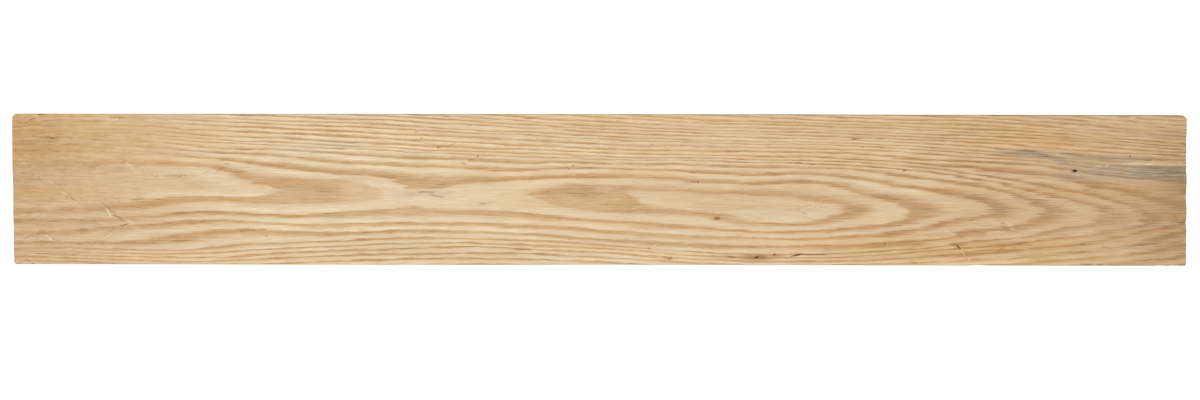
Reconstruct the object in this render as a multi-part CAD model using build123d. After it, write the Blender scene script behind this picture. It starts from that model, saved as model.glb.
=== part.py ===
from build123d import *
import math
import os

os.makedirs("parts", exist_ok=True)

# Reclaimed ash board: one sawn and planed plank, lying flat on its back face.
# Frame: millimetres. +X runs along the board (the worn, stained end is at +X),
# +Y runs across it towards the tight-grained long edge, +Z is up out of the
# show face. The origin is the middle of the underside, at the centre of the
# board's overall length and width.

# ---- driving dimensions ----------------------------------------------------
LENGTH = 1200.0          # overall, end to end
WIDTH = 154.5            # overall, over the slight crown of the long edges
THICKNESS = 22.0

ARRIS = 0.9              # eased long and end arrises, both faces

R_TOP_LEFT = 5.2         # corner at -X +Y, rounded over by handling
R_BOTTOM_LEFT = 3.2      # corner at -X -Y
R_BOTTOM_RIGHT = 1.8     # corner at +X -Y, nearly sharp
ARC_STEPS = 5            # facets of a rounded corner

# The left end was cut out of square: it runs in by 2.2 mm over the width.
# Each row is (x, y) along the end, from +Y to -Y.
LEFT_END = [
    (-600.0, 66.0), (-599.9, 47.0), (-599.75, 31.0), (-599.6, 19.0),
    (-599.2, 10.5), (-598.95, 2.0), (-598.8, -14.0), (-598.65, -30.0),
    (-598.2, -38.5), (-598.0, -54.5), (-597.8, -68.0),
]

# The long edge at -Y, from -X to +X: nearly straight, with a shallow chip
# close to x = +387 and a slight scallop at the right end.
BOTTOM_EDGE = [
    (-572.0, -77.05), (-401.0, -77.05), (-303.0, -77.2), (-107.0, -77.15),
    (-9.0, -76.85), (187.0, -76.9), (285.0, -77.15), (372.0, -77.2),
    (381.5, -77.1), (384.5, -76.4), (389.5, -76.35), (392.5, -77.1),
    (481.0, -77.25), (566.0, -77.2), (573.5, -76.75), (579.5, -77.15),
    (586.0, -76.75), (592.0, -77.05),
]

# The right end, from -Y to +Y: broken fibres leave it wavy by a few tenths,
# with two small notches, near y = -33 and y = -6.7.
RIGHT_END = [
    (599.3, -68.0), (599.35, -61.0), (599.55, -57.3), (599.3, -53.3),
    (599.5, -45.1), (599.75, -41.0), (599.4, -37.0), (598.85, -32.9),
    (599.55, -28.8), (599.7, -24.7), (599.85, -18.5), (599.35, -12.4),
    (599.2, -8.6), (598.8, -6.7), (599.45, -4.3), (599.55, 3.9),
    (600.0, 8.0), (599.8, 12.1), (599.6, 16.2), (599.3, 20.3),
    (599.45, 28.4), (599.05, 32.5), (599.3, 36.6), (599.55, 40.7),
    (599.25, 49.0), (599.3, 53.0), (599.75, 57.1), (599.9, 61.1),
    (599.9, 69.3),
]

# The worn corner at +X +Y: a flat sliver has broken away, then it rounds off.
WORN_CORNER = [
    (599.6, 72.1), (598.9, 73.8), (597.4, 75.3), (592.3, 76.85),
]

# The long edge at +Y, from +X to -X, very slightly crowned.
TOP_EDGE = [
    (579.0, 76.9), (383.0, 77.0), (285.0, 77.0), (187.0, 77.25),
    (89.0, 77.15), (-107.0, 77.1), (-303.0, 77.0), (-401.0, 76.9),
    (-499.0, 76.75), (-572.0, 76.85),
]

# Old nail hole in the stained streak near the right end: an elongated mouth
# torn along the grain, closing to the nail's own section further down.
NAIL_X, NAIL_Y = 485.0, 19.8
NAIL_MOUTH = (5.6, 2.6)      # along and across the grain
NAIL_FOOT = (2.6, 1.8)
NAIL_DEPTH = 13.0

# End check: a fine split running in from the notch in the right end.
CHECK_Y = -32.9
CHECK_LENGTH = 11.5
CHECK_MOUTH = 0.55
CHECK_DEPTH = 6.0


# ---- outline ---------------------------------------------------------------
def corner(cx, cy, radius, start_deg, end_deg):
    """Facet points of a rounded corner about (cx, cy)."""
    points = []
    for i in range(ARC_STEPS + 1):
        angle = math.radians(start_deg + (end_deg - start_deg) * i / ARC_STEPS)
        points.append((cx + radius * math.cos(angle), cy + radius * math.sin(angle)))
    return points


outline = []
# anticlockwise, starting at the +Y end of the left end
outline += LEFT_END
outline += corner(-597.75 + R_BOTTOM_LEFT, -77.0 + R_BOTTOM_LEFT,
                  R_BOTTOM_LEFT, 180, 270)
outline += BOTTOM_EDGE
outline += corner(599.3 - R_BOTTOM_RIGHT, -76.85 + R_BOTTOM_RIGHT,
                  R_BOTTOM_RIGHT, 270, 360)
outline += RIGHT_END
outline += WORN_CORNER
outline += TOP_EDGE
outline += corner(-600.0 + R_TOP_LEFT, 76.85 - R_TOP_LEFT,
                  R_TOP_LEFT, 90, 180)

# ---- solid -----------------------------------------------------------------
section = make_face(Polyline(*outline, close=True))
board = extrude(section, amount=THICKNESS, dir=(0, 0, 1))

# eased arrises all round, on the show face and on the back
rims = board.edges().filter_by(lambda e: abs(e.center().Z - THICKNESS) < 1e-6
                               or abs(e.center().Z) < 1e-6)
board = chamfer(rims, length=ARRIS)

# nail hole, blind
mouth = Plane((NAIL_X, NAIL_Y, THICKNESS)) * Ellipse(NAIL_MOUTH[0] / 2, NAIL_MOUTH[1] / 2)
foot = Plane((NAIL_X, NAIL_Y, THICKNESS - NAIL_DEPTH)) * Ellipse(NAIL_FOOT[0] / 2, NAIL_FOOT[1] / 2)
board -= loft([foot, mouth])

# end check, a thin wedge that runs out along the grain
wedge = make_face(Polyline(
    (LENGTH / 2 + 1.0, CHECK_Y - CHECK_MOUTH / 2),
    (LENGTH / 2 + 1.0, CHECK_Y + CHECK_MOUTH / 2),
    (LENGTH / 2 - CHECK_LENGTH, CHECK_Y + 0.35),
    close=True))
wedge = extrude(Pos(0, 0, THICKNESS - CHECK_DEPTH) * wedge,
                amount=CHECK_DEPTH + 1.0, dir=(0, 0, 1))
board -= wedge

board = board.solid()
board.label = "ash_board"
export_step(board, "parts/ash_board.step")

box = board.bounding_box()
print("size", [round(v, 3) for v in (box.size.X, box.size.Y, box.size.Z)])
print("centre", [round(v, 3) for v in (box.center().X, box.center().Y, box.min.Z)])
print("volume mm3", round(board.volume), "mass kg at 680 kg/m3", round(board.volume * 680e-9, 3))
print("outline points", len(outline), "valid", board.is_valid)
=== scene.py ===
import math

import bpy
import numpy as np
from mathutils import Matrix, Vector


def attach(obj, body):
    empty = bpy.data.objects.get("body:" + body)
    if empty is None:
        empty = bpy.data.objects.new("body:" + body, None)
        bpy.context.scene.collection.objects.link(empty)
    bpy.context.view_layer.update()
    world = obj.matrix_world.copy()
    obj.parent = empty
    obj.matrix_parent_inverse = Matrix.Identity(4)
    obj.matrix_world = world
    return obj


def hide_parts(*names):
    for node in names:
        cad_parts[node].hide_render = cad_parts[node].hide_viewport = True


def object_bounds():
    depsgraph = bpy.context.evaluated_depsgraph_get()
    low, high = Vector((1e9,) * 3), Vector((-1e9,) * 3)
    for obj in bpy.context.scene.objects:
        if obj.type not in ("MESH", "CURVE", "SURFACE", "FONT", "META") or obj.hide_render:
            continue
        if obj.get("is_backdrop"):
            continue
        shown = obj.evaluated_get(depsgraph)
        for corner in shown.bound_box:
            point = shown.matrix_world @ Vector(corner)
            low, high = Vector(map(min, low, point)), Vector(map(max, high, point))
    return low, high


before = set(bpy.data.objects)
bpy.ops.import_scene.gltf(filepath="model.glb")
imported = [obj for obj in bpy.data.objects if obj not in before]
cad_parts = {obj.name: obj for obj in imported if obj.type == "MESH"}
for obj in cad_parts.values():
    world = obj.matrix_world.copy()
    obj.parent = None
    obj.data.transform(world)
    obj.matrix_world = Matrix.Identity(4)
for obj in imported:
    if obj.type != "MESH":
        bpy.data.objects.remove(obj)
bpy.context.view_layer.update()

# Reclaimed ash board. Metres in Blender, millimetres in the tables below.
# The figure of the wood is a field of growth rings: whole numbers are the
# middles of the dark bands, halves the middles of the light ones. The curves
# below say where the rings run on the show face, in pixels of the 1200 x 400
# frame, and the rest of the board follows from them and from the pith line
# that lies under the board.

# ---------------------------------------------------------------------------
# frame of the picture and frame of the board
# ---------------------------------------------------------------------------
PX = 1200.0 / 1175.0          # mm a pixel on the show face
TURN = 0.0014                 # the board lies this much out of level in the picture
THICK = 22.0
HALF_L = 600.0
HALF_W = 77.05


def to_pixels(x, y):
    """Board mm to picture pixels."""
    x = x / 0.99967 + 0.2
    y = y + 0.3
    c, s = math.cos(TURN), math.sin(TURN)
    return 599.2 + (x * c + y * s) / PX, 189.75 - (-x * s + y * c) / PX


def to_board(u, v):
    """Picture pixels to board mm."""
    dx, dy = (u - 599.2) * PX, -(v - 189.75) * PX
    c, s = math.cos(TURN), math.sin(TURN)
    return (dx * c - dy * s - 0.2) * 0.99967, dx * s + dy * c - 0.3


# ---------------------------------------------------------------------------
# growth rings on the show face
# ---------------------------------------------------------------------------
RINGS = {
    24: [(1140, 115.0), (1190, 118.5)],
    23: [(1104, 116.0), (1140, 118.3), (1190, 122.0)],
    22: [(1068, 116.5), (1104, 119.4), (1140, 122.4), (1190, 125.8)],
    21: [(1000, 115.2), (1032, 117.4), (1068, 119.9), (1104, 123.0), (1140, 125.9), (1190, 129.6)],
    20: [(905, 115.3), (948, 117.0), (984, 118.4), (1032, 121.1), (1068, 123.8), (1104, 126.7), (1140, 129.5), (1190, 133.0)],
    19: [(780, 114.6), (840, 117.5), (880, 119.2), (912, 120.3), (948, 120.4), (984, 121.5), (1020, 124.0), (1056, 126.6), (1092, 129.9), (1128, 132.6), (1190, 136.6)],
    18: [(700, 114.8), (744, 117.0), (780, 118.1), (816, 120.1), (852, 121.5), (888, 122.7), (924, 124.1), (960, 124.5), (1000, 126.4), (1056, 130.6), (1092, 133.5), (1128, 136.3), (1190, 140.8)],
    17: [(612, 114.2), (660, 117.0), (708, 120.1), (744, 121.3), (780, 122.1), (840, 124.3), (876, 125.4), (924, 127.5), (972, 129.3), (1008, 130.6), (1044, 132.8), (1080, 135.5), (1128, 139.1), (1190, 144.2)],
    16: [(556, 114.6), (612, 118.3), (660, 120.8), (708, 123.2), (744, 124.3), (780, 124.9), (816, 126.3), (852, 127.5), (888, 128.8), (924, 130.5), (960, 132.0), (1008, 133.9), (1056, 137.0), (1104, 140.7), (1190, 147.4)],
    15: [(500, 115.2), (564, 120.2), (612, 122.0), (660, 124.7), (708, 127.0), (744, 127.8), (780, 128.7), (840, 131.0), (888, 133.0), (948, 135.0), (984, 136.5), (1032, 138.4), (1068, 140.2), (1104, 142.8), (1190, 150.2)],
    14: [(420, 115.0), (456, 116.8), (504, 119.7), (564, 124.0), (612, 126.0), (660, 128.7), (720, 130.6), (756, 131.6), (792, 132.1), (828, 132.9), (888, 135.5), (924, 137.0), (972, 138.9), (1020, 142.0), (1080, 146.1), (1128, 149.3), (1190, 152.8)],
    13: [(340, 114.4), (384, 116.0), (420, 118.1), (456, 120.0), (504, 122.9), (564, 127.2), (600, 129.2), (636, 130.4), (672, 132.2), (708, 133.3), (756, 134.4), (792, 135.4), (840, 137.0), (888, 138.8), (924, 140.4), (984, 143.2), (1020, 145.4), (1056, 148.2), (1092, 150.7), (1128, 152.9), (1190, 156.2)],
    12: [(200, 114.2), (240, 115.0), (276, 116.2), (312, 117.9), (348, 118.9), (384, 120.3), (420, 122.2), (456, 124.4), (504, 126.7), (552, 129.3), (600, 132.2), (648, 134.7), (684, 135.7), (720, 136.8), (756, 138.1), (800, 138.6), (840, 139.6), (888, 141.5), (930, 144.0), (984, 147.2), (1020, 150.2), (1056, 153.3), (1092, 156.0), (1128, 158.6), (1190, 160.4)],
    11: [(20, 113.2), (100, 113.2), (160, 115.6), (204, 117.8), (240, 119.2), (276, 120.8), (312, 121.9), (348, 123.1), (384, 124.6), (420, 126.9), (456, 129.3), (504, 131.5), (540, 132.8), (576, 134.8), (612, 136.7), (648, 138.0), (684, 139.3), (732, 141.1), (780, 142.0), (828, 142.6), (870, 144.1), (900, 145.6), (936, 148.1), (972, 150.4), (1008, 153.0), (1044, 155.9), (1080, 159.1), (1116, 161.6), (1152, 162.9), (1190, 164.0)],
    10: [(12, 117.6), (40, 117.0), (72, 116.6), (108, 117.3), (168, 119.4), (204, 121.1), (240, 122.4), (276, 123.9), (312, 125.3), (348, 126.5), (384, 128.0), (420, 130.3), (456, 132.2), (492, 133.7), (528, 135.2), (564, 137.3), (600, 139.1), (636, 141.0), (672, 141.7), (708, 142.9), (744, 144.2), (780, 144.4), (816, 144.8), (852, 145.9), (888, 147.8), (924, 150.3), (960, 152.3), (1000, 155.3), (1044, 158.5), (1080, 162.4), (1116, 165.5), (1152, 167.8), (1190, 168.2)],
    9: [(12, 123.2), (24, 122.3), (60, 120.8), (96, 120.9), (132, 122.5), (168, 123.7), (204, 125.4), (240, 126.7), (276, 128.1), (312, 130.2), (348, 131.8), (384, 133.6), (420, 135.3), (456, 136.7), (492, 138.7), (528, 140.6), (564, 142.2), (600, 144.0), (636, 145.7), (672, 145.8), (708, 146.7), (744, 147.4), (780, 148.1), (816, 148.5), (852, 149.6), (888, 151.4), (924, 154.2), (960, 156.7), (1000, 158.8), (1040, 161.5), (1080, 166.3), (1116, 170.0), (1152, 173.0), (1190, 174.4)],
    8: [(12, 127.0), (36, 125.2), (84, 125.5), (120, 125.5), (156, 127.0), (192, 129.3), (228, 130.9), (264, 132.6), (300, 134.4), (336, 136.2), (372, 137.5), (408, 139.9), (444, 141.3), (480, 143.0), (516, 145.0), (552, 146.2), (588, 148.4), (636, 150.3), (672, 150.6), (708, 151.2), (744, 151.7), (780, 152.0), (816, 152.5), (852, 153.9), (888, 156.4), (924, 159.5), (984, 162.6), (1020, 164.1), (1056, 167.5), (1080, 171.7), (1104, 174.8), (1140, 178.2), (1190, 181.4)],
    7: [(12, 131.7), (60, 131.2), (96, 129.8), (132, 130.0), (168, 132.4), (204, 135.0), (240, 136.9), (276, 138.2), (312, 140.5), (348, 142.4), (384, 144.0), (420, 146.0), (456, 146.8), (492, 148.8), (528, 149.7), (564, 151.2), (600, 153.0), (636, 154.1), (672, 154.5), (708, 155.3), (768, 156.5), (804, 156.9), (840, 158.0), (876, 160.6), (912, 163.2), (948, 166.0), (984, 169.0), (1020, 172.2), (1056, 175.7), (1084, 181.8), (1110, 189.1), (1140, 197.0), (1160, 201.3), (1180, 207.5), (1192, 214.0), (1188, 221.5), (1170, 226.2), (1152, 229.9), (1130, 235.2), (1104, 240.5), (1080, 244.1), (1044, 247.5), (1008, 250.4), (972, 253.6), (924, 257.0), (888, 258.7), (852, 260.5), (816, 261.4), (780, 261.5), (740, 260.5), (700, 258.8), (672, 257.4), (648, 255.4), (612, 252.7), (576, 251.2), (540, 249.5), (504, 247.8), (468, 246.7), (432, 247.8), (396, 248.8), (360, 249.8), (324, 251.2), (288, 252.5), (252, 254.9), (216, 256.9), (180, 257.4), (144, 256.7), (108, 255.7), (60, 254.0), (12, 253.2)],
    6: [(12, 134.6), (36, 134.2), (72, 133.4), (132, 133.6), (168, 135.7), (204, 138.6), (240, 141.0), (276, 142.1), (312, 144.1), (348, 145.8), (384, 147.5), (420, 149.9), (456, 151.1), (480, 151.7), (500, 152.6), (528, 153.5), (564, 154.6), (600, 156.4), (636, 157.9), (672, 158.3), (708, 158.5), (744, 159.4), (780, 160.3), (840, 161.5), (876, 163.9), (910, 166.7), (940, 169.7), (965, 173.0), (990, 176.8), (1010, 179.5), (1032, 183.8), (1050, 187.5), (1070, 191.3), (1100, 196.5), (1118, 201.8), (1132, 207.0), (1146, 213.0), (1151, 217.5), (1146, 222.5), (1132, 227.7), (1112, 231.1), (1085, 235.6), (1060, 238.5), (1040, 240.8), (1020, 242.9), (1000, 244.8), (972, 247.4), (936, 250.4), (900, 253.1), (876, 255.5), (840, 257.2), (810, 257.7), (775, 257.6), (757, 257.5), (732, 256.9), (696, 255.3), (660, 252.8), (636, 250.8), (600, 248.5), (564, 246.3), (528, 244.5), (492, 243.6), (468, 242.5), (432, 242.6), (396, 243.4), (360, 244.8), (324, 246.8), (288, 248.2), (252, 250.1), (216, 252.6), (180, 253.5), (144, 253.5), (108, 252.8), (72, 251.6), (12, 250.9)],
    5: [(12, 138.4), (24, 138.3), (60, 137.5), (96, 136.3), (132, 137.1), (156, 138.1), (180, 140.2), (216, 143.0), (252, 144.4), (288, 145.5), (336, 148.4), (372, 149.7), (408, 151.8), (444, 153.6), (470, 154.4), (492, 155.4), (528, 156.6), (564, 158.1), (600, 159.3), (648, 160.3), (690, 160.8), (744, 161.9), (780, 162.8), (816, 164.2), (852, 165.6), (888, 168.0), (905, 170.4), (922, 172.0), (940, 173.8), (960, 176.5), (980, 179.6), (1000, 182.6), (1015, 186.5), (1030, 190.5), (1045, 194.1), (1060, 197.9), (1075, 201.0), (1090, 204.2), (1102, 208.0), (1110, 213.0), (1107, 219.0), (1096, 223.8), (1080, 226.5), (1065, 228.4), (1050, 231.3), (1040, 234.5), (1030, 236.9), (1010, 238.6), (990, 240.0), (970, 242.0), (948, 245.1), (930, 247.8), (912, 249.3), (890, 250.2), (864, 252.3), (840, 253.4), (820, 254.3), (790, 254.6), (765, 254.3), (740, 253.6), (708, 252.7), (684, 251.4), (648, 248.8), (612, 246.1), (576, 243.4), (540, 241.0), (504, 239.1), (468, 238.4), (432, 237.6), (396, 238.2), (360, 239.7), (324, 242.0), (288, 243.1), (252, 243.6), (216, 247.6), (180, 250.0), (144, 249.8), (108, 249.1), (72, 247.7), (12, 248.8)],
    4: [(12, 141.2), (72, 140.9), (108, 140.4), (144, 141.5), (180, 144.6), (216, 147.8), (252, 149.2), (288, 150.5), (324, 153.1), (360, 154.8), (396, 157.2), (432, 158.8), (468, 159.2), (492, 161.4), (528, 162.3), (564, 162.5), (600, 163.3), (636, 164.4), (672, 164.5), (708, 165.3), (744, 166.7), (780, 167.3), (816, 167.8), (852, 169.4), (870, 171.4), (888, 173.7), (905, 176.2), (924, 178.3), (940, 180.2), (960, 183.6), (980, 186.3), (1000, 189.9), (1018, 194.8), (1028, 199.0), (1040, 205.0), (1053, 210.0), (1046, 214.2), (1038, 219.0), (1030, 223.8), (1018, 227.2), (1005, 229.3), (985, 229.8), (968, 231.7), (957, 235.4), (940, 238.3), (920, 240.6), (900, 242.6), (885, 244.3), (864, 245.7), (828, 246.4), (792, 246.6), (756, 246.4), (720, 246.3), (684, 244.6), (648, 242.2), (612, 240.6), (576, 237.6), (540, 234.9), (504, 233.4), (468, 231.8), (432, 230.4), (396, 231.1), (360, 232.7), (324, 233.7), (288, 232.1), (252, 230.7), (230, 230.9), (214, 232.1), (198, 234.0), (180, 236.5), (160, 241.0), (144, 242.5), (108, 242.6), (72, 242.3), (12, 242.8)],
    3: [(12, 143.6), (24, 144.2), (72, 145.4), (108, 146.4), (144, 146.6), (168, 148.9), (204, 152.0), (240, 153.8), (276, 155.8), (312, 159.0), (348, 162.5), (384, 163.9), (420, 165.9), (456, 166.8), (480, 168.5), (504, 170.1), (528, 169.8), (564, 168.2), (600, 168.5), (636, 169.4), (672, 170.0), (708, 172.2), (744, 174.3), (780, 174.0), (816, 174.5), (840, 176.3), (860, 179.1), (880, 182.6), (900, 185.9), (920, 188.4), (940, 190.8), (960, 194.3), (975, 197.1), (990, 202.0), (1001, 209.0), (992, 214.8), (975, 217.5), (962, 218.9), (950, 221.5), (935, 225.7), (920, 229.6), (900, 233.0), (885, 234.8), (860, 235.7), (840, 236.9), (820, 238.3), (792, 238.9), (756, 237.8), (708, 236.6), (672, 235.2), (636, 233.2), (600, 230.6), (564, 227.2), (528, 225.9), (492, 224.6), (456, 223.7), (420, 223.3), (384, 223.7), (348, 224.3), (312, 225.0), (276, 223.5), (240, 221.2), (216, 220.3), (200, 220.8), (168, 223.8), (145, 225.1), (126, 226.8), (100, 229.5), (60, 231.9), (12, 233.4)],
    2: [(12, 149.6), (60, 151.4), (96, 152.2), (132, 152.1), (168, 154.9), (204, 157.7), (240, 161.5), (276, 165.2), (312, 169.8), (348, 173.0), (380, 174.3), (392, 177.5), (404, 181.5), (430, 184.3), (450, 181.9), (462, 179.9), (490, 179.6), (516, 179.1), (545, 177.7), (560, 176.6), (590, 176.3), (624, 177.0), (660, 177.7), (680, 179.1), (697, 181.4), (732, 182.7), (768, 183.3), (800, 182.0), (828, 183.9), (845, 187.8), (860, 192.0), (880, 196.4), (900, 201.0), (914, 206.0), (920, 211.0), (914, 217.0), (903, 222.7), (890, 225.3), (870, 226.7), (850, 228.8), (830, 230.7), (804, 232.0), (768, 232.0), (732, 230.2), (696, 227.7), (660, 224.6), (624, 222.0), (588, 219.9), (552, 217.1), (520, 214.0), (504, 212.7), (468, 211.7), (432, 211.2), (400, 211.1), (372, 211.8), (336, 214.3), (300, 215.7), (264, 215.0), (228, 213.0), (192, 212.8), (156, 216.3), (120, 218.9), (96, 219.9), (48, 220.0), (12, 220.6)],
}
# the flame along the middle, where the face runs through the innermost rings:
# (u, v, ring value)
FLAME = [
    # first ring about the left hollow: upper arm, tip, lower arm
    (12, 163.0, 1.0), (36, 163.6, 1.0), (66, 163.6, 1.0), (96, 163.4, 1.0), (124, 163.2, 1.0), (150, 163.4, 1.0),
    (180, 164.4, 1.0), (210, 166.0, 1.0), (228, 168.6, 1.0), (240, 173.2, 1.0), (255, 178.2, 1.0), (270, 183.0, 1.0),
    (283, 186.5, 0.93), (292, 184.0, 1.02), (310, 183.0, 1.07), (330, 184.0, 1.12), (302, 192.0, 1.0), (322, 193.0, 1.05),
    (340, 193.0, 1.15), (290, 198.5, 1.03), (310, 199.0, 1.1), (340, 198.5, 1.2), (356, 190.0, 1.27), (366, 196.0, 1.33),
    (384, 190.0, 1.47), (404, 197.0, 1.52), (270, 198.5, 0.97), (250, 199.3, 1.0), (220, 198.6, 1.0), (200, 197.8, 1.0),
    (185, 198.5, 1.0), (165, 201.0, 1.0), (150, 204.0, 1.0), (130, 206.0, 1.0), (115, 207.5, 1.0), (84, 209.3, 1.0),
    (60, 210.0, 1.0), (12, 210.5, 1.0),
    # the hollow itself
    (262, 188.5, 0.62), (240, 187.0, 0.5), (210, 183.0, 0.46), (170, 181.0, 0.45), (130, 179.0, 0.46), (90, 179.5, 0.5),
    (50, 181.0, 0.52), (14, 182.0, 0.55), (240, 192.5, 0.55), (270, 192.0, 0.8), (276, 188.5, 0.8),
    # light band between the first and the second ring
    (12, 156.3, 1.5), (60, 157.4, 1.5), (120, 157.8, 1.5), (170, 159.4, 1.5), (220, 162.6, 1.5), (245, 167.0, 1.5),
    (270, 172.2, 1.5), (300, 175.2, 1.5), (340, 177.4, 1.5), (372, 181.0, 1.5), (12, 215.5, 1.5), (60, 215.0, 1.5),
    (120, 213.2, 1.5), (150, 211.0, 1.5), (180, 206.0, 1.5), (220, 206.6, 1.5), (260, 208.2, 1.5), (300, 208.4, 1.5), (340, 206.4, 1.5),
    (380, 204.0, 1.5),
    # the light saddle between the two hollows
    (400, 189.5, 1.6), (430, 194.0, 1.5), (460, 192.0, 1.5), (490, 194.0, 1.5), (510, 196.0, 1.48), (460, 201.0, 1.52),
    (500, 204.0, 1.5), (420, 202.0, 1.55), (530, 204.0, 1.45), (490, 187.0, 1.6), (520, 187.0, 1.6),
    # the dark patch that closes the right hollow
    (532, 193.5, 1.36), (545, 190.5, 1.2), (560, 190.0, 1.05), (578, 189.0, 1.0), (596, 189.5, 1.0), (548, 199.0, 1.3),
    (566, 198.0, 1.14), (584, 197.0, 1.02), (604, 197.0, 0.98), (620, 199.0, 0.92), (610, 204.5, 1.0), (590, 204.5, 1.05),
    (570, 206.0, 1.2), (628, 205.0, 0.96), (600, 209.6, 1.12), (560, 211.0, 1.5), (590, 213.8, 1.5), (620, 216.0, 1.5),
    (560, 182.0, 1.5), (580, 181.4, 1.5), (610, 181.8, 1.5), (645, 182.8, 1.5), (680, 184.4, 1.5), (710, 186.8, 1.5),
    (745, 188.0, 1.5), (780, 187.4, 1.5), (810, 188.6, 1.5), (830, 191.5, 1.5), (850, 197.0, 1.5), (870, 203.0, 1.5),
    (885, 209.0, 1.5), (878, 216.0, 1.5), (862, 220.5, 1.5), (842, 224.0, 1.5), (820, 227.4, 1.5), (790, 228.2, 1.5),
    (760, 227.4, 1.5), (730, 225.0, 1.5), (700, 221.6, 1.5), (670, 219.0, 1.5), (645, 217.6, 1.5),
    # first ring about the right hollow
    (620, 188.6, 1.0), (648, 188.8, 1.0), (684, 190.0, 1.0), (720, 192.0, 1.0), (756, 193.8, 1.0), (785, 195.4, 1.0),
    (810, 197.6, 1.0), (826, 201.0, 1.0), (840, 204.0, 1.0), (856, 206.6, 1.03), (862, 209.5, 1.06), (855, 212.5, 1.03),
    (845, 214.6, 1.0), (835, 217.8, 1.0), (825, 221.0, 1.0), (812, 223.4, 1.0), (792, 224.5, 1.0), (768, 224.1, 1.0),
    (748, 222.5, 1.0), (732, 220.0, 1.0), (716, 216.0, 1.0), (696, 213.0, 1.0), (668, 212.2, 1.0), (644, 210.8, 1.0),
    # the right hollow
    (642, 198.5, 0.62), (660, 199.0, 0.5), (690, 200.5, 0.44), (720, 203.0, 0.42), (750, 206.0, 0.4), (780, 208.5, 0.42),
    (806, 209.5, 0.46), (826, 208.6, 0.6), (838, 208.6, 0.78),
]
ALONG = 9.0       # a pixel along the grain counts for this much less than one across it


def smooth_line(points, step):
    p = np.array(points, float)
    q = np.vstack([2 * p[0] - p[1], p, 2 * p[-1] - p[-2]])
    out = []
    for i in range(1, len(q) - 2):
        a, b, c, d = q[i - 1], q[i], q[i + 1], q[i + 2]
        length = math.hypot(c[0] - b[0], 5.0 * (c[1] - b[1]))
        n = max(1, int(math.ceil(length / step)))
        t = np.arange(n)[:, None] / n
        m1, m2 = 0.5 * (c - a), 0.5 * (d - b)
        out.append((2 * t ** 3 - 3 * t ** 2 + 1) * b + (t ** 3 - 2 * t ** 2 + t) * m1
                   + (-2 * t ** 3 + 3 * t ** 2) * c + (t ** 3 - t ** 2) * m2)
    out.append(p[-1:])
    return np.vstack(out)


class RingField:
    """A thin-plate sheet through the ring curves."""

    def __init__(self):
        rows = []
        for number, line in RINGS.items():
            c = smooth_line(line, 36.0 if number > 7 else 26.0)
            rows.append(np.column_stack([c, np.full(len(c), float(number))]))
        rows.append(np.array(FLAME, float))
        p = np.vstack(rows)
        keep = np.ones(len(p), bool)
        for i in range(len(p)):
            if keep[i]:
                near = np.hypot((p[i + 1:, 0] - p[i, 0]) / ALONG, p[i + 1:, 1] - p[i, 1]) < 0.6
                keep[i + 1:][near] = False
        p = p[keep]
        self.at = np.column_stack([p[:, 0] / ALONG, p[:, 1]])
        n = len(p)
        d2 = ((self.at[:, None, :] - self.at[None, :, :]) ** 2).sum(-1)
        a = np.zeros((n + 3, n + 3))
        a[:n, :n] = 0.5 * d2 * np.log(d2 + 1e-9) + np.eye(n) * 0.02
        a[:n, n] = 1
        a[:n, n + 1:] = self.at
        a[n, :n] = 1
        a[n + 1:, :n] = self.at.T
        b = np.zeros(n + 3)
        b[:n] = p[:, 2]
        self.w = np.linalg.solve(a, b)

    def __call__(self, u, v):
        n = len(self.at)
        out = np.empty(len(u))
        s = np.asarray(u) / ALONG
        for i in range(0, len(s), 4000):
            a, b = s[i:i + 4000], v[i:i + 4000]
            d2 = (a[:, None] - self.at[None, :, 0]) ** 2 + (b[:, None] - self.at[None, :, 1]) ** 2
            out[i:i + 4000] = (0.5 * d2 * np.log(d2 + 1e-9)) @ self.w[:n] + self.w[n] + a * self.w[n + 1] + b * self.w[n + 2]
        return out


# ---------------------------------------------------------------------------
# smooth seeded noise
# ---------------------------------------------------------------------------
def lattice(i, j, seed):
    h = (i.astype(np.int64) * 73856093) ^ (j.astype(np.int64) * 19349663) ^ (seed * 83492791)
    h = (h ^ (h >> 13)) * 1274126177
    h = (h ^ (h >> 16)) & 0xFFFFFF
    return h / float(0xFFFFFF) * 2.0 - 1.0


def wave(a, b, seed):
    """Smooth noise from -1 to 1 with cells of 1 by 1."""
    i, j = np.floor(a), np.floor(b)
    s, t = a - i, b - j
    s, t = s * s * (3 - 2 * s), t * t * (3 - 2 * t)
    return ((lattice(i, j, seed) * (1 - s) + lattice(i + 1, j, seed) * s) * (1 - t)
            + (lattice(i, j + 1, seed) * (1 - s) + lattice(i + 1, j + 1, seed) * s) * t)


def step(x, low, high):
    t = np.clip((x - low) / (high - low), 0, 1)
    return t * t * (3 - 2 * t)


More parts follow.
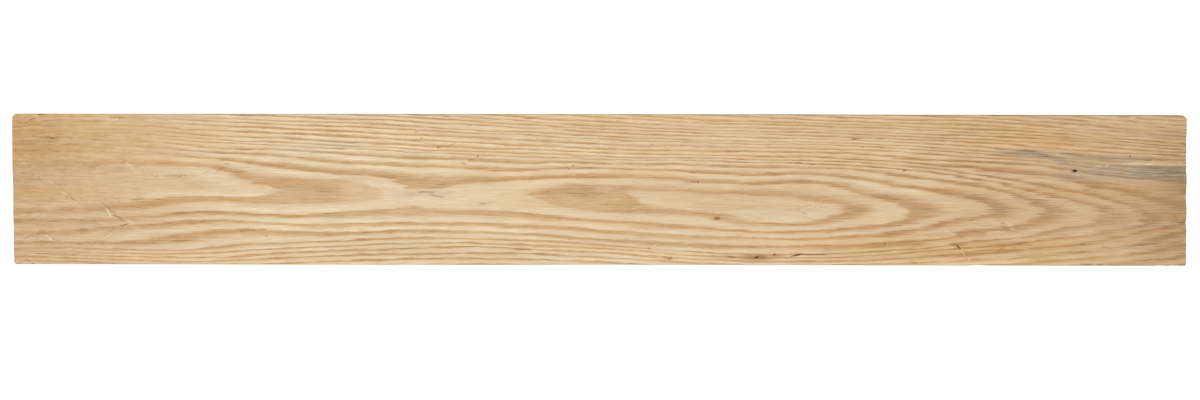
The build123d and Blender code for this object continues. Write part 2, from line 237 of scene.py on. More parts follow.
# ---------------------------------------------------------------------------
# wear, and painted highlights and shade on gouges, a dent and the end check, in picture pixels on the show face
# ---------------------------------------------------------------------------
# (kind, strength, half width, depth in mm, points): thin crisp marks
STROKES = [
    # long gouge near the left end: a fine crushed line, dark only here and there; its pale lines are painted highlight
    # on the lit wall, its dark ones painted shade on the wall away from the lamp
    ("pale", 0.27, 0.4, 0.30, [(17, 157), (22, 161.5), (27, 167), (31, 171)]),
    ("pale", 0.25, 0.45, 0.25, [(32, 172), (38, 175.8), (44, 179)]),
    ("dark", 0.26, 0.4, 0.1, [(31, 172.4), (35, 175)]), ("dark", 0.33, 0.4, 0.1, [(37, 176.6), (40, 178.4)]),
    ("pale", 0.30, 0.45, 0.35, [(47, 180), (52, 182.3), (56, 185.4), (60, 189.2), (63, 192.6)]),
    ("dark", 0.21, 0.4, 0.0, [(53, 181.4), (58, 185.4), (62, 189.6)]),
    ("pale", 0.50, 0.9, 0.40, [(63, 193), (65.5, 194.5)]),
    ("dark", 0.43, 0.6, 0.2, [(66, 196.4), (67.5, 198)]), ("dark", 0.39, 0.5, 0.2, [(68, 193), (70, 195.4)]),
    ("dark", 0.36, 0.5, 0.2, [(70, 196.8), (73, 199), (76, 201)]),
    ("pale", 0.29, 0.4, 0.15, [(73, 201.6), (78, 203.2), (80, 204)]),
    ("pale", 0.16, 0.5, 0.1, [(79, 205), (82, 209), (84, 212.5)]),
    # the second gouge: a pale band under a thin brown lip; the pale band is painted highlight on its lit wall, the lip
    # painted shade on its other wall
    ("pale", 0.36, 0.5, 0.25, [(97, 201.2), (100, 204.4), (103, 206.6)]),
    ("dark", 0.36, 0.5, 0.25, [(101, 202.2), (104, 205.2), (108, 208.6), (112, 212), (116, 214.4)]),
    ("pale", 0.58, 1.1, 0.5, [(106.5, 209), (108.5, 211.6), (109.5, 214), (111.5, 216.6)]),
    ("dark", 0.47, 0.6, 0.3, [(113, 215.4), (117, 217), (120, 218), (122, 218.8)]),
    ("dark", 0.21, 0.5, 0.1, [(116, 219.4), (121, 221), (127, 222)]),
    ("dark", 0.66, 0.7, 0.4, [(123.4, 225.6), (125.4, 225.0), (127.6, 224.2)]), ("brown", 0.55, 0.9, 0.1, [(120.6, 225.8), (124, 226)]),
    ("pale", 0.18, 0.6, 0.1, [(126, 220.6), (131, 222.6), (134, 223)]),
    ("dark", 0.28, 0.35, 0.1, [(142, 228.4), (145.4, 232)]), ("dark", 0.34, 0.4, 0.1, [(149, 234), (150.6, 236)]),
    ("dark", 0.34, 0.4, 0.1, [(152, 235.6), (153.2, 237.2)]), ("pale", 0.22, 0.5, 0.1, [(146, 231), (150, 234.6), (155, 239)]),
    ("pale", 0.25, 0.5, 0.1, [(155, 239.6), (159, 240.6)]),
    ("dark", 0.30, 0.5, 0.0, [(118.6, 207), (119.2, 205.8)]), ("dark", 0.30, 0.5, 0.0, [(119, 202.2), (120.2, 201.2)]),
    # the mark above it
    ("pale", 0.25, 0.45, 0.1, [(113, 153.4), (117, 154.8), (120.6, 157)]),
    ("dark", 0.47, 0.6, 0.2, [(122.4, 158.6), (123.6, 160.6)]), ("dark", 0.24, 0.4, 0.1, [(125, 160.6), (126.4, 161.6)]),
    ("pale", 0.26, 1.8, 0.1, [(127, 164), (131, 168), (137, 171), (142, 173.4)]),
    ("pale", 0.29, 0.5, 0.1, [(132, 168.4), (137, 171.6), (141, 173.6)]),
    ("dark", 0.30, 0.35, 0.1, [(148, 170.8), (150, 172.4)]), ("dark", 0.33, 0.4, 0.1, [(151, 174), (153.6, 176.4)]),
    ("dark", 0.39, 0.4, 0.1, [(155, 177.8), (157, 176.8), (158, 174)]),
    ("brown", 0.25, 0.9, 0.0, [(167, 176.4), (172, 175.6), (178, 176.4)]),
    ("dark", 0.47, 0.7, 0.1, [(179.6, 177), (182, 176)]), ("dark", 0.36, 0.5, 0.1, [(184, 175.6), (187, 175)]),
    ("brown", 0.22, 0.5, 0.0, [(190, 176), (200, 175.6)]),
    ("brown", 0.31, 0.45, 0.1, [(202, 174.2), (206, 173), (209, 171.6)]), ("brown", 0.31, 0.4, 0.1, [(210, 172), (210.6, 170.2), (213, 169.6)]),
    ("brown", 0.31, 0.4, 0.1, [(215, 171), (217, 171.6), (220, 169.8), (223, 168.2), (225, 168.6)]),
    ("brown", 0.37, 0.7, 0.0, [(225, 163.8), (228, 164.2), (230.5, 165.4)]),
    # top left corner
    ("dark", 0.47, 0.5, 0.2, [(18, 122.3), (18.8, 122.6)]), ("dark", 0.47, 0.5, 0.2, [(20.4, 122.8), (21.4, 122.6)]),
    ("dark", 0.52, 0.6, 0.2, [(25.6, 123), (27, 122.2)]),
    ("brown", 0.50, 0.8, 0.2, [(29, 120.4), (32, 119.3), (36, 118.4)]), ("dark", 0.39, 0.4, 0.2, [(29.4, 120), (33, 119.2)]),
    ("pale", 0.50, 0.6, 0.2, [(35.6, 117.6), (37.4, 115.4)]),
    ("dark", 0.50, 0.7, 0.1, [(39.0, 114.8), (43, 114.2)]), ("brown", 0.66, 0.9, 0.1, [(38, 115.0), (45, 114.3)]),
    ("brown", 0.22, 0.4, 0.0, [(21, 121.8), (27, 124), (33, 125.6), (42, 126.6), (56, 127)]),
    # knot and its trailing line
    ("brown", 0.53, 0.9, 0.05, [(45.4, 137.4), (50, 137.8), (54, 138.4), (57.4, 138)]),
    ("dark", 0.53, 0.55, 0.1, [(50.4, 138.4), (54, 138.8)]),
    ("pale", 0.43, 0.55, 0.1, [(45, 136.4), (46, 135.6)]), ("pale", 0.43, 0.5, 0.1, [(48.4, 135.6), (49, 134.8)]),
    ("pale", 0.40, 0.5, 0.1, [(51.6, 136.6), (52.6, 136)]), ("pale", 0.22, 0.45, 0.0, [(54, 140), (57, 141.8), (62, 143.2), (66, 143.8)]),
    ("brown", 0.28, 0.4, 0.0, [(62, 144.8), (70, 145.2), (76, 145.7), (82, 145.9)]), ("brown", 0.22, 0.4, 0.0, [(82.6, 146.4), (84.6, 148.4), (87, 149.6)]),
    ("brown", 0.25, 0.45, 0.0, [(15, 138), (24, 137), (34, 136.6), (44, 136.8)]), ("brown", 0.22, 0.8, 0.0, [(58, 136.2), (62, 136.4)]),
    ("pale", 0.48, 0.9, 0.0, [(115.8, 119.4), (117.6, 118.4)]), ("pale", 0.48, 0.8, 0.0, [(116.2, 124), (117.4, 123.4)]),
    ("pale", 0.25, 0.7, 0.0, [(135, 147.6), (139, 149.2), (143, 149.4)]), ("pale", 0.25, 0.5, 0.0, [(134, 144), (136, 144.6)]),
    ("dark", 0.34, 0.5, 0.1, [(146.6, 147.2), (147.4, 146.6)]), ("dark", 0.34, 0.5, 0.1, [(146.8, 149.6), (147.2, 151)]),
    # chips of the lower left
    ("brown", 0.37, 1.3, 0.15, [(37.4, 234.6), (41, 232.6), (44, 232.2), (46, 233.4)]), ("brown", 0.40, 0.6, 0.15, [(39.6, 231.4), (42.4, 229.8), (44, 230.6)]),
    ("brown", 0.34, 0.5, 0.1, [(24, 238.8), (29, 236.6), (34, 234.4)]), ("brown", 0.22, 0.45, 0.0, [(15, 241.6), (22, 240)]),
    ("pale", 0.36, 0.9, 0.15, [(45.6, 235.4), (48.6, 237.6), (52.4, 240.2)]),
    ("brown", 0.34, 0.5, 0.1, [(47, 234.6), (51, 238), (55, 240), (61, 241.4)]),
    ("pale", 0.43, 0.55, 0.15, [(113, 231.4), (111.6, 234), (109, 236.4), (105, 238.2), (101.6, 239.8)]),
    ("brown", 0.19, 0.4, 0.0, [(100, 241), (106, 239.4), (112, 236.4)]),
    ("pale", 0.43, 0.55, 0.1, [(91, 244), (92.4, 243.6)]), ("pale", 0.36, 0.5, 0.1, [(94, 245), (97.4, 244.4)]),
    ("brown", 0.25, 0.8, 0.0, [(93, 241.8), (98, 241)]),
    ("dark", 0.47, 0.5, 0.2, [(26.6, 260.2), (27.6, 259.4)]), ("dark", 0.39, 0.5, 0.2, [(28.6, 261.6), (29.6, 260.8)]),
    ("dark", 0.47, 0.6, 0.1, [(30.6, 263.4), (34, 264)]), ("pale", 0.36, 0.9, 0.05, [(15, 261), (18, 261)]),
    ("dark", 0.34, 0.8, 0.05, [(15, 264), (20, 264.4)]), ("brown", 0.22, 0.4, 0.0, [(20, 257), (24, 259.6)]),
    ("brown", 0.37, 0.6, 0.05, [(88, 263.8), (95, 263.2), (103, 263.8)]), ("brown", 0.25, 0.35, 0.0, [(38.6, 224.6), (39.4, 228)]),
    # from 200 to 400
    ("brown", 0.22, 0.5, 0.0, [(221, 154.2), (225, 154.6)]),
    ("brown", 0.26, 1.2, 0.05, [(240.6, 230.4), (247, 230.2), (254, 230.2)]), ("dark", 0.36, 0.45, 0.1, [(248.4, 229), (249.4, 227.8)]),
    ("dark", 0.33, 0.45, 0.05, [(241, 232), (244, 231.2)]), ("dark", 0.34, 0.4, 0.05, [(252, 229.2), (255.4, 231.8)]),
    ("brown", 0.22, 0.4, 0.0, [(259, 230), (262, 233.4), (264.4, 236)]), ("brown", 0.43, 0.75, 0.05, [(265.4, 236.6), (268.4, 236.2)]),
    ("brown", 0.37, 0.6, 0.0, [(371, 124.6), (373, 124.2)]), ("brown", 0.34, 0.45, 0.0, [(322, 126.4), (332, 126.6), (342, 126.4)]),
    ("brown", 0.28, 0.45, 0.0, [(310, 125.4), (318, 125.8)]), ("brown", 0.28, 0.45, 0.0, [(326, 131), (334, 131.4), (344, 131.8)]),
    ("brown", 0.37, 0.55, 0.0, [(330, 148.8), (336, 148.4), (342, 148.9)]), ("pale", 0.25, 0.6, 0.0, [(327, 147.5), (336, 147.4)]),
    ("brown", 0.28, 0.5, 0.0, [(340, 149.4), (346, 150)]), ("brown", 0.37, 0.7, 0.05, [(329, 250), (333, 250), (336, 250.8)]),
    ("brown", 0.34, 0.7, 0.0, [(376, 176.8), (382, 176.4), (388, 177.8), (396, 177.6)]),
    # middle of the board
    ("dark", 0.45, 0.6, 0.15, [(416, 132.8), (417, 132.2)]), ("dark", 0.60, 0.6, 0.15, [(421, 138.8), (422, 138.2)]),
    ("brown", 0.25, 0.7, 0.0, [(406, 141), (413, 140.4), (422, 140.8)]), ("brown", 0.19, 0.4, 0.0, [(424, 133), (426, 137)]),
    ("pale", 0.24, 1.3, 0.0, [(432, 143), (438, 143.4), (446, 143.6), (452, 143)]),
    ("brown", 0.34, 0.45, 0.0, [(431, 143.4), (433.6, 145.6), (436, 147.4)]), ("dark", 0.62, 0.5, 0.1, [(436, 147.4), (437, 147.6)]),
    ("dark", 0.85, 0.65, 0.2, [(438, 147.4), (439.2, 147.2)]), ("dark", 0.52, 0.45, 0.1, [(440.6, 147.8), (442.2, 147.2)]),
    ("dark", 0.33, 0.45, 0.1, [(445.4, 143.4), (446, 142.8)]), ("brown", 0.38, 0.6, 0.0, [(443.6, 147), (448, 146), (453, 144.8)]),
    ("brown", 0.19, 0.4, 0.0, [(453, 144.4), (456, 142.6)]), ("dark", 0.34, 0.5, 0.1, [(480.8, 144.6), (482, 144)]),
    ("pale", 0.32, 0.8, 0.0, [(483.6, 145.2), (488, 146.2), (494, 146)]),
    ("dark", 0.65, 0.7, 0.2, [(477.4, 156.8), (478.4, 156)]), ("dark", 0.29, 0.35, 0.1, [(476, 158), (472, 159.6), (468.6, 161.4)]),
    ("brown", 0.28, 0.45, 0.0, [(479.4, 157.4), (482, 159), (484.4, 160.6)]), ("dark", 0.58, 0.7, 0.2, [(462, 162.6), (463.4, 163.4)]),
    ("dark", 0.47, 0.6, 0.1, [(464.4, 164.4), (465.6, 164)]), ("brown", 0.28, 0.4, 0.0, [(466, 165.4), (468, 167.4)]),
    ("brown", 0.44, 0.85, 0.0, [(418, 192.8), (424, 192), (434, 192.6)]), ("brown", 0.44, 0.85, 0.0, [(430, 194.2), (436, 196), (444, 197.4)]),
    ("brown", 0.24, 0.5, 0.0, [(446, 192.6), (457, 191.8)]), ("brown", 0.19, 0.5, 0.0, [(410, 194.6), (420, 195)]),
    ("brown", 0.42, 1.0, 0.0, [(480, 203), (484, 204.2), (487, 203.8)]), ("brown", 0.19, 0.6, 0.0, [(488, 203.4), (496, 202.6)]),
    ("dark", 0.52, 0.5, 0.15, [(566.4, 168.2), (567.4, 167.6)]), ("dark", 0.57, 0.6, 0.15, [(568.4, 168.8), (569.6, 169.4)]),
    ("dark", 0.43, 0.5, 0.1, [(572.8, 165.8), (573.8, 165)]), ("dark", 0.29, 0.35, 0.1, [(569.4, 170.4), (570, 173.6), (571.2, 176.6)]),
    ("brown", 0.42, 1.15, 0.0, [(514, 249), (520, 249.6), (526, 249.4), (531, 250)]), ("dark", 0.14, 0.5, 0.0, [(517, 249.8), (525, 249.8)]),
    ("brown", 0.25, 0.8, 0.0, [(558, 219), (562, 219)]), ("brown", 0.31, 0.5, 0.0, [(391, 247.6), (394.4, 248.8)]),
    ("brown", 0.31, 0.8, 0.0, [(428, 253.4), (434, 254.6), (441, 254.8)]), ("brown", 0.28, 0.6, 0.0, [(466, 252.4), (471, 253.2)]),
    ("brown", 0.22, 0.5, 0.0, [(389, 233.4), (390.4, 233.8)]), ("brown", 0.31, 0.5, 0.0, [(518, 243), (525, 243.8)]),
    ("brown", 0.22, 0.6, 0.0, [(404, 138), (407, 139.4)]),
    # from 580 to 780
    ("brown", 0.31, 0.4, 0.0, [(586.6, 150.2), (588.6, 149), (591, 149.4)]), ("brown", 0.34, 0.4, 0.0, [(595, 175), (597.6, 174.2)]),
    ("brown", 0.34, 0.4, 0.0, [(601, 176), (603, 174.4), (605.4, 175.4)]), ("dark", 0.36, 0.45, 0.0, [(597.4, 177.6), (600, 177.8)]),
    ("brown", 0.31, 0.45, 0.0, [(603, 177.6), (606, 177.8)]),
    ("brown", 0.55, 0.9, 0.05, [(651.6, 145.2), (652.8, 144.8)]), ("dark", 0.30, 0.5, 0.05, [(655, 176.8), (656, 176.4)]),
    ("dark", 0.36, 0.5, 0.1, [(677, 178.6), (678, 178)]), ("brown", 0.28, 0.5, 0.0, [(678.6, 178.8), (684, 180.2)]),
    ("brown", 0.38, 0.9, 0.0, [(691, 181.6), (695, 182.2), (699, 183)]), ("dark", 0.62, 0.7, 0.2, [(697.6, 182.4), (698.8, 181.8)]),
    ("brown", 0.45, 0.75, 0.0, [(725.6, 152), (732, 152.3), (740, 151.8)]), ("dark", 0.36, 0.4, 0.0, [(737.6, 159.4), (741, 159.9), (743.6, 159.5)]),
    ("dark", 0.44, 0.7, 0.2, [(648.6, 248.8), (650, 248.2)]), ("pale", 0.36, 0.5, 0.2, [(651, 247), (655, 245.4), (658.4, 243.4)]),
    ("brown", 0.22, 0.35, 0.0, [(650, 246.6), (654, 244.8), (657.6, 242.8)]),
    ("dark", 0.28, 0.5, 0.0, [(711.6, 212.8), (713, 212.4)]), ("brown", 0.80, 1.7, 0.1, [(715.4, 218.6), (719.6, 218.4)]), ("dark", 0.36, 0.8, 0.15, [(716.6, 218.6), (718.6, 218.2)]),
    ("dark", 0.33, 0.5, 0.0, [(721, 218), (723, 218.6)]),
    ("brown", 0.34, 1.3, 0.05, [(664.6, 257.6), (668, 258.4), (672, 258.6)]), ("dark", 0.52, 0.8, 0.15, [(669.6, 259.2), (671.4, 258.6)]),
    ("brown", 0.37, 0.65, 0.0, [(707.6, 252.4), (711, 252.6), (714.6, 253)]), ("brown", 0.31, 0.5, 0.0, [(709, 255.4), (716, 255.6)]),
    ("dark", 0.43, 0.5, 0.05, [(728, 256.8), (732, 257.4), (737, 257.8)]),
    ("brown", 0.30, 0.7, 0.05, [(750, 258.8), (757, 258.6), (766, 257.4)]),
    ("brown", 0.36, 1.9, 0.1, [(750, 257.8), (757, 257.4), (765, 257)]), ("dark", 0.86, 0.8, 0.5, [(754.8, 258.2), (757, 257.6), (758.6, 257.3)]), ("dark", 0.69, 0.8, 0.3, [(774, 255.6), (775.6, 254.4)]),
    ("brown", 0.34, 0.55, 0.0, [(748, 246.6), (753.6, 246.9)]), ("brown", 0.34, 0.55, 0.0, [(766, 246.8), (771.6, 246.9)]),
    ("brown", 0.31, 0.6, 0.0, [(742, 258.8), (741, 260.8)]), ("brown", 0.34, 0.5, 0.0, [(772, 257.4), (776, 257.8)]),
    # from 780 to 960
    ("brown", 0.37, 0.55, 0.0, [(782, 257.8), (786, 257.6), (790, 258)]), ("dark", 0.57, 0.6, 0.2, [(790.6, 257.4), (793.4, 256.4)]),
    ("dark", 0.82, 0.75, 0.35, [(793.6, 256.2), (796.6, 255.2), (800.4, 254.6)]), ("dark", 0.60, 0.5, 0.2, [(800.8, 254.6), (812, 254.8), (825.6, 254.6)]),
    ("dark", 0.36, 0.5, 0.0, [(826, 248.6), (827.4, 248)]), ("dark", 0.33, 0.5, 0.0, [(828.6, 249.2), (829.4, 248.6)]),
    ("dark", 0.34, 0.5, 0.0, [(829.6, 246.6), (831.4, 245.8)]),
    ("grey", 0.80, 0.65, 0.0, [(795.4, 163.2), (799, 162.8), (802.6, 163.8)]), ("grey", 0.80, 0.6, 0.0, [(806, 164.2), (812, 164.7), (817.6, 164.5)]),
    ("grey", 0.30, 0.6, 0.0, [(819, 165.2), (826, 165.3)]), ("grey", 0.34, 0.6, 0.0, [(836, 165.2), (846, 165.5)]),
    ("dark", 0.43, 0.4, 0.05, [(796, 163.4), (802, 163.6)]), ("dark", 0.47, 0.35, 0.05, [(808, 164.5), (817, 164.6)]),
    ("dark", 0.19, 0.35, 0.0, [(797, 117), (795.6, 120)]), ("dark", 0.39, 0.5, 0.05, [(794.4, 121.8), (795.2, 121.2)]),
    ("dark", 0.21, 0.35, 0.0, [(793.6, 124), (792.6, 127.4)]), ("dark", 0.34, 0.45, 0.0, [(791, 129.6), (791.8, 129.2)]),
    ("brown", 0.59, 1.0, 0.05, [(852.4, 139.4), (855, 139), (859, 138.8)]), ("dark", 0.52, 0.5, 0.05, [(853, 139.4), (856, 139.1)]),
    ("dark", 0.33, 0.4, 0.0, [(861.4, 146.4), (863, 147.4), (865, 146.6)]), ("brown", 0.31, 0.5, 0.0, [(774, 156.6), (779, 156.4), (784, 157)]),
    ("dark", 0.36, 0.5, 0.05, [(844.8, 196.4), (846.6, 197.4)]), ("dark", 0.39, 0.5, 0.05, [(815, 202), (815.8, 201.4)]),
    ("dark", 0.43, 0.5, 0.1, [(809.6, 205.4), (811, 205.8)]), ("dark", 0.26, 0.4, 0.05, [(817, 204), (819, 206.6)]),
    ("dark", 0.28, 0.4, 0.05, [(820, 207.4), (823, 207)]), ("dark", 0.50, 0.5, 0.15, [(802.6, 212.6), (804.2, 213.2)]),
    ("dark", 0.43, 0.45, 0.1, [(804.6, 214.6), (805.6, 213.8)]), ("dark", 0.39, 0.45, 0.1, [(806.6, 213.4), (807.6, 213.2)]),
    ("dark", 0.21, 0.4, 0.0, [(805, 216.8), (807, 217.8)]), ("brown", 0.25, 0.6, 0.0, [(798, 209.6), (801, 209)]),
    ("brown", 0.37, 0.8, 0.0, [(886, 174.2), (889, 173.8), (892, 174.2)]), ("brown", 0.28, 0.4, 0.0, [(900.6, 172.6), (903, 171.6)]),
    ("dark", 0.69, 0.65, 0.15, [(903.6, 171.3), (906.4, 170.5)]), ("brown", 0.31, 0.5, 0.0, [(913, 177.8), (917, 177.6)]),
    ("dark", 0.72, 0.7, 0.2, [(884.2, 243.8), (885.4, 244)]), ("dark", 0.41, 0.45, 0.1, [(885, 242.4), (886, 245.6)]),
    ("brown", 0.43, 0.55, 0.0, [(908, 249.2), (913, 249.1)]), ("brown", 0.53, 0.8, 0.05, [(911, 262.6), (914, 263.2), (917, 263.8)]),
    # split with a pale torn tail near the lower edge
    ("dark", 0.84, 0.6, 0.4, [(956.6, 244.8), (958.4, 247), (960.4, 249)]), ("dark", 0.39, 0.4, 0.2, [(961, 249.6), (962, 251.6)]),
    ("pale", 0.50, 0.6, 0.15, [(962.6, 251.6), (964.4, 254.6), (965.8, 257)]), ("brown", 0.34, 0.5, 0.05, [(965.4, 257.6), (967, 257.8)]),
    ("pale", 0.56, 0.6, 0.1, [(968.6, 258.4), (970, 261), (971.6, 263.6)]), ("brown", 0.28, 0.5, 0.0, [(972, 258.8), (979, 258.6)]),
    # lifted flake
    ("brown", 0.34, 0.5, 0.2, [(948, 228.8), (951, 231.4), (955, 234)]), ("pale", 0.22, 0.6, 0.05, [(938, 230.4), (943, 228.6), (947, 228)]),
    ("brown", 0.22, 0.5, 0.0, [(959, 235), (964, 236)]),
    # from 960 to the right end
    # a dent with a brown inside; the pale lines beside it are painted highlights on its rim
    ("brown", 0.62, 0.8, 0.1, [(1003.8, 222.6), (1005, 224.6)]), ("brown", 0.52, 0.9, 0.1, [(1002, 226.4), (1004, 227.6), (1007, 229)]),
    ("brown", 0.28, 0.6, 0.0, [(999, 224.6), (1003, 224)]), ("pale", 0.42, 0.55, 0.1, [(1008, 225.8), (1012, 226.2), (1014, 225.8)]),
    ("pale", 0.58, 0.55, 0.2, [(1010.4, 229.4), (1013.6, 229.6), (1016, 231)]), ("pale", 0.36, 0.55, 0.15, [(1014, 232), (1018, 234), (1023, 236.6)]),
    ("dark", 0.29, 0.4, 0.05, [(1012.4, 231.2), (1017.6, 233.2)]), ("brown", 0.22, 0.4, 0.0, [(1016, 230.4), (1021, 233.4)]),
    ("brown", 0.40, 0.65, 0.0, [(1015.6, 244.4), (1019, 244.6), (1024, 243.8)]), ("brown", 0.37, 0.5, 0.0, [(1015, 247), (1016.6, 249.4), (1020, 251)]),
    ("brown", 0.42, 0.6, 0.0, [(1004, 246.6), (1001.6, 249.4), (999, 252.4)]), ("pale", 0.22, 0.6, 0.0, [(1006, 248.6), (1012, 247.8)]),
    ("pale", 0.22, 0.5, 0.0, [(1024, 249), (1030, 250.6)]), ("brown", 0.28, 0.6, 0.0, [(1026, 245.8), (1034, 245)]),
    ("brown", 0.31, 0.5, 0.0, [(1036.6, 191.4), (1038.6, 192)]), ("dark", 0.34, 0.5, 0.0, [(1049.6, 187.4), (1056, 188.6)]),
    ("brown", 0.40, 0.8, 0.0, [(1092, 188.8), (1095, 187.6), (1099, 187.4)]), ("brown", 0.28, 0.9, 0.0, [(1084, 190.4), (1090, 190.6)]),
    ("brown", 0.34, 0.5, 0.0, [(1103, 247.4), (1108.6, 247.6)]), ("dark", 0.31, 0.4, 0.0, [(1115, 189), (1121, 189)]),
    ("dark", 0.40, 0.7, 0.05, [(1175, 216.8), (1177, 217.2)]), ("dark", 0.34, 0.6, 0.05, [(1176, 219.4), (1178, 219.2)]),
    # a thin dark line along the end check: painted shade in the split
    ("dark", 0.20, 0.35, 0.05, [(1173, 222.6), (1180, 222.6), (1187, 222.2)]),
    ("brown", 0.25, 0.5, 0.0, [(1119, 215), (1121, 215.4)]), ("brown", 0.28, 0.5, 0.0, [(1117, 219.4), (1119, 219.2)]),
    ("brown", 0.28, 0.5, 0.0, [(1125, 226.8), (1127, 226.4)]), ("brown", 0.25, 0.5, 0.0, [(1130, 221.4), (1134, 221.8)]),
    ("brown", 0.25, 0.5, 0.0, [(1114, 223), (1116, 223.6)]), ("brown", 0.22, 0.8, 0.0, [(1142, 197), (1145, 195.8)]),
    ("dark", 0.47, 0.6, 0.05, [(1081, 264.4), (1087, 264.6), (1092, 264.6)]), ("dark", 0.43, 0.6, 0.05, [(1098, 264.6), (1101.6, 264.7)]),
    ("pale", 0.36, 0.8, 0.0, [(975, 264), (984, 264.4)]),
    ("dark", 0.88, 0.65, 0.2, [(1130.2, 156.8), (1131.4, 156.6)]), ("pale", 0.40, 0.7, 0.0, [(1096.4, 166.6), (1100, 166.2), (1103, 166.8)]),
    ("pale", 0.58, 0.7, 0.0, [(1107, 166), (1108.4, 165.6)]), ("pale", 0.29, 0.8, 0.0, [(1130, 118.4), (1136, 117.8)]),
    ("dark", 0.43, 0.5, 0.0, [(714.6, 114), (715.8, 114.6)]), ("dark", 0.24, 0.5, 0.0, [(1172, 115.4), (1178, 116)]),
]
# (kind, strength, u, v, half length, half height): soft smudges
SPOTS = [
    ("grey", 0.60, 1118, 171.5, 74, 11.0), ("grey", 0.50, 1088, 160.5, 66, 8.5), ("grey", 0.55, 1034, 154, 40, 5.5),
    ("grey", 0.42, 1068, 171, 20, 7.0), ("grey", 0.66, 1066, 170, 10, 3.4), ("grey", 0.5, 1084, 170.5, 9, 3.0), ("grey", 0.34, 52, 123.5, 12, 4.0), ("brown", 0.22, 50, 138, 10, 3.4), ("brown", 0.26, 17, 180, 7, 3.0),
    ("brown", 0.20, 24, 188, 9, 3.4), ("grey", 0.16, 28, 186, 14, 5.0), ("brown", 0.22, 178, 176.5, 14, 2.4),
    ("brown", 0.24, 247, 230.6, 10, 2.6), ("grey", 0.34, 422, 193, 36, 5.0), ("grey", 0.22, 494, 202.8, 7, 2.2),
    ("brown", 0.25, 717, 218.8, 9, 2.8), ("brown", 0.24, 668, 258.6, 8, 2.6), ("brown", 0.95, 757, 257.4, 20, 4.2), ("brown", 0.7, 776, 256.4, 10, 2.8), ("brown", 0.55, 728, 257, 12, 2.6),
    ("brown", 0.34, 859, 136, 11, 4.5), ("brown", 0.26, 880, 136.6, 10, 4.0), ("brown", 0.22, 928, 140, 16, 5.0),
    ("grey", 0.34, 827, 250, 5, 4.5), ("brown", 0.34, 962, 160, 16, 6.5), ("brown", 0.28, 930, 168, 26, 4.5),
    ("brown", 0.30, 1000, 246, 26, 6.0), ("brown", 0.26, 1048, 187, 14, 3.0), ("brown", 0.30, 1092, 189, 12, 4.0),
    ("brown", 0.22, 1122, 219, 14, 8.0), ("brown", 0.30, 1176, 217.5, 8, 3.6), ("brown", 0.24, 1180, 186, 12, 5.0),
    ("brown", 0.20, 1130, 191, 18, 5.0), ("brown", 0.20, 120, 205, 26, 3.0), ("brown", 0.16, 50, 150, 30, 8.0),
    ("grey", 0.22, 715, 146, 8, 2.6), ("brown", 0.20, 855, 212, 18, 8.0), ("grey", 0.18, 100, 208, 20, 5.0),
]
# patches with a torn but crisp outline: (band level, how soft, outline)
PATCHES = [
    # the plain dark wood where the left flame closes, and its paler tail
    (0.46, 2.2, [(338, 181.8), (350, 185), (358, 183.4), (362, 181.6), (367, 185), (380, 188), (384, 193), (380, 199), (362, 200.8),
                 (344, 202), (342, 190)]),
    (0.20, 1.0, [(252, 177.5), (268, 178.2), (300, 179), (325, 179.8), (340, 181.2), (339, 184), (342, 187), (345, 191), (346, 197),
                 (340, 202), (320, 203), (300, 203.6), (280, 204.4), (262, 203), (252, 202), (240, 201), (246, 199.4), (263, 198.2),
                 (270, 195), (279, 190.4), (272, 186.6), (263, 183.4), (253, 180.6)]),
    # the dark tongue under the second ring
    (0.10, 0.8, [(390, 180.6), (398, 182.6), (404, 182.2), (414, 180.6), (426, 181), (436, 179), (446, 178), (456, 180), (461, 181.6),
                 (456, 182), (451, 185.4), (446, 188.4), (430, 188.6), (404, 188.6), (408, 185), (400, 183.6)]),
    (0.24, 1.2, [(390, 210.4), (398, 208.4), (406, 206.6), (416, 205.6), (424, 208), (431, 209.8), (437, 211), (432, 214), (400, 215.6),
                 (388, 214)]),
    # where the right flame closes
    (0.34, 2.0, [(528, 194.4), (536, 191), (548, 188.6), (558, 185.6), (575, 183.4), (590, 184.6), (606, 186.6), (620, 191), (634, 195.6),
                 (638, 201), (640, 207), (630, 210.4), (600, 210), (575, 209), (556, 204), (540, 199.6)]),
    (0.14, 1.0, [(530, 194), (544, 192.4), (550, 190), (558, 188), (566, 186.4), (575, 184.6), (588, 185.2), (596, 189), (602, 193),
                 (594, 198.6), (580, 199), (572, 196), (560, 195.4), (550, 194.2), (540, 194.6)]),
    (0.20, 1.0, [(596, 204), (606, 202.6), (616, 201), (622, 196.4), (630, 197.6), (637, 202), (636, 207.4), (622, 208.6), (608, 207.6)]),
    # where the first ring's lower arm is broken up at the left
    (0.16, 0.8, [(168, 199.4), (170, 196.4), (181, 197), (186, 196), (196, 197.8), (186, 199.6), (174, 200)]),
    (0.20, 0.8, [(132, 199), (138, 197.2), (146, 199), (142, 200.6), (134, 200.4)]),
    (0.24, 1.0, [(106, 198), (108, 196.2), (112, 197), (120, 198), (114, 199.4)]),
    (0.12, 1.0, [(160, 241.4), (168, 238.6), (178, 236), (188, 234.4), (200, 234.6), (198, 238), (190, 240.6), (184, 242.6), (172, 242.8)]),
    # the second ring's tip at the right
    (0.16, 1.4, [(880, 196), (900, 199), (915, 202), (932, 206), (928, 212), (920, 218), (908, 224), (890, 227), (870, 229), (862, 227.4),
                 (885, 223.5), (901, 221), (907, 216), (910, 211), (903, 206), (892, 202)]),
    # light flake near the right flame's lower side
    (0.76, 0.9, [(898, 237.4), (912, 236.6), (926, 234.4), (936, 231.6), (944, 229), (950, 231), (956, 235), (950, 237.6), (938, 239),
                 (920, 239.6), (904, 240)]),
    (0.80, 0.8, [(984, 236.4), (990, 231.6), (1004, 230.4), (1014, 232.6), (1024, 237), (1012, 238.4), (996, 238)]),
]
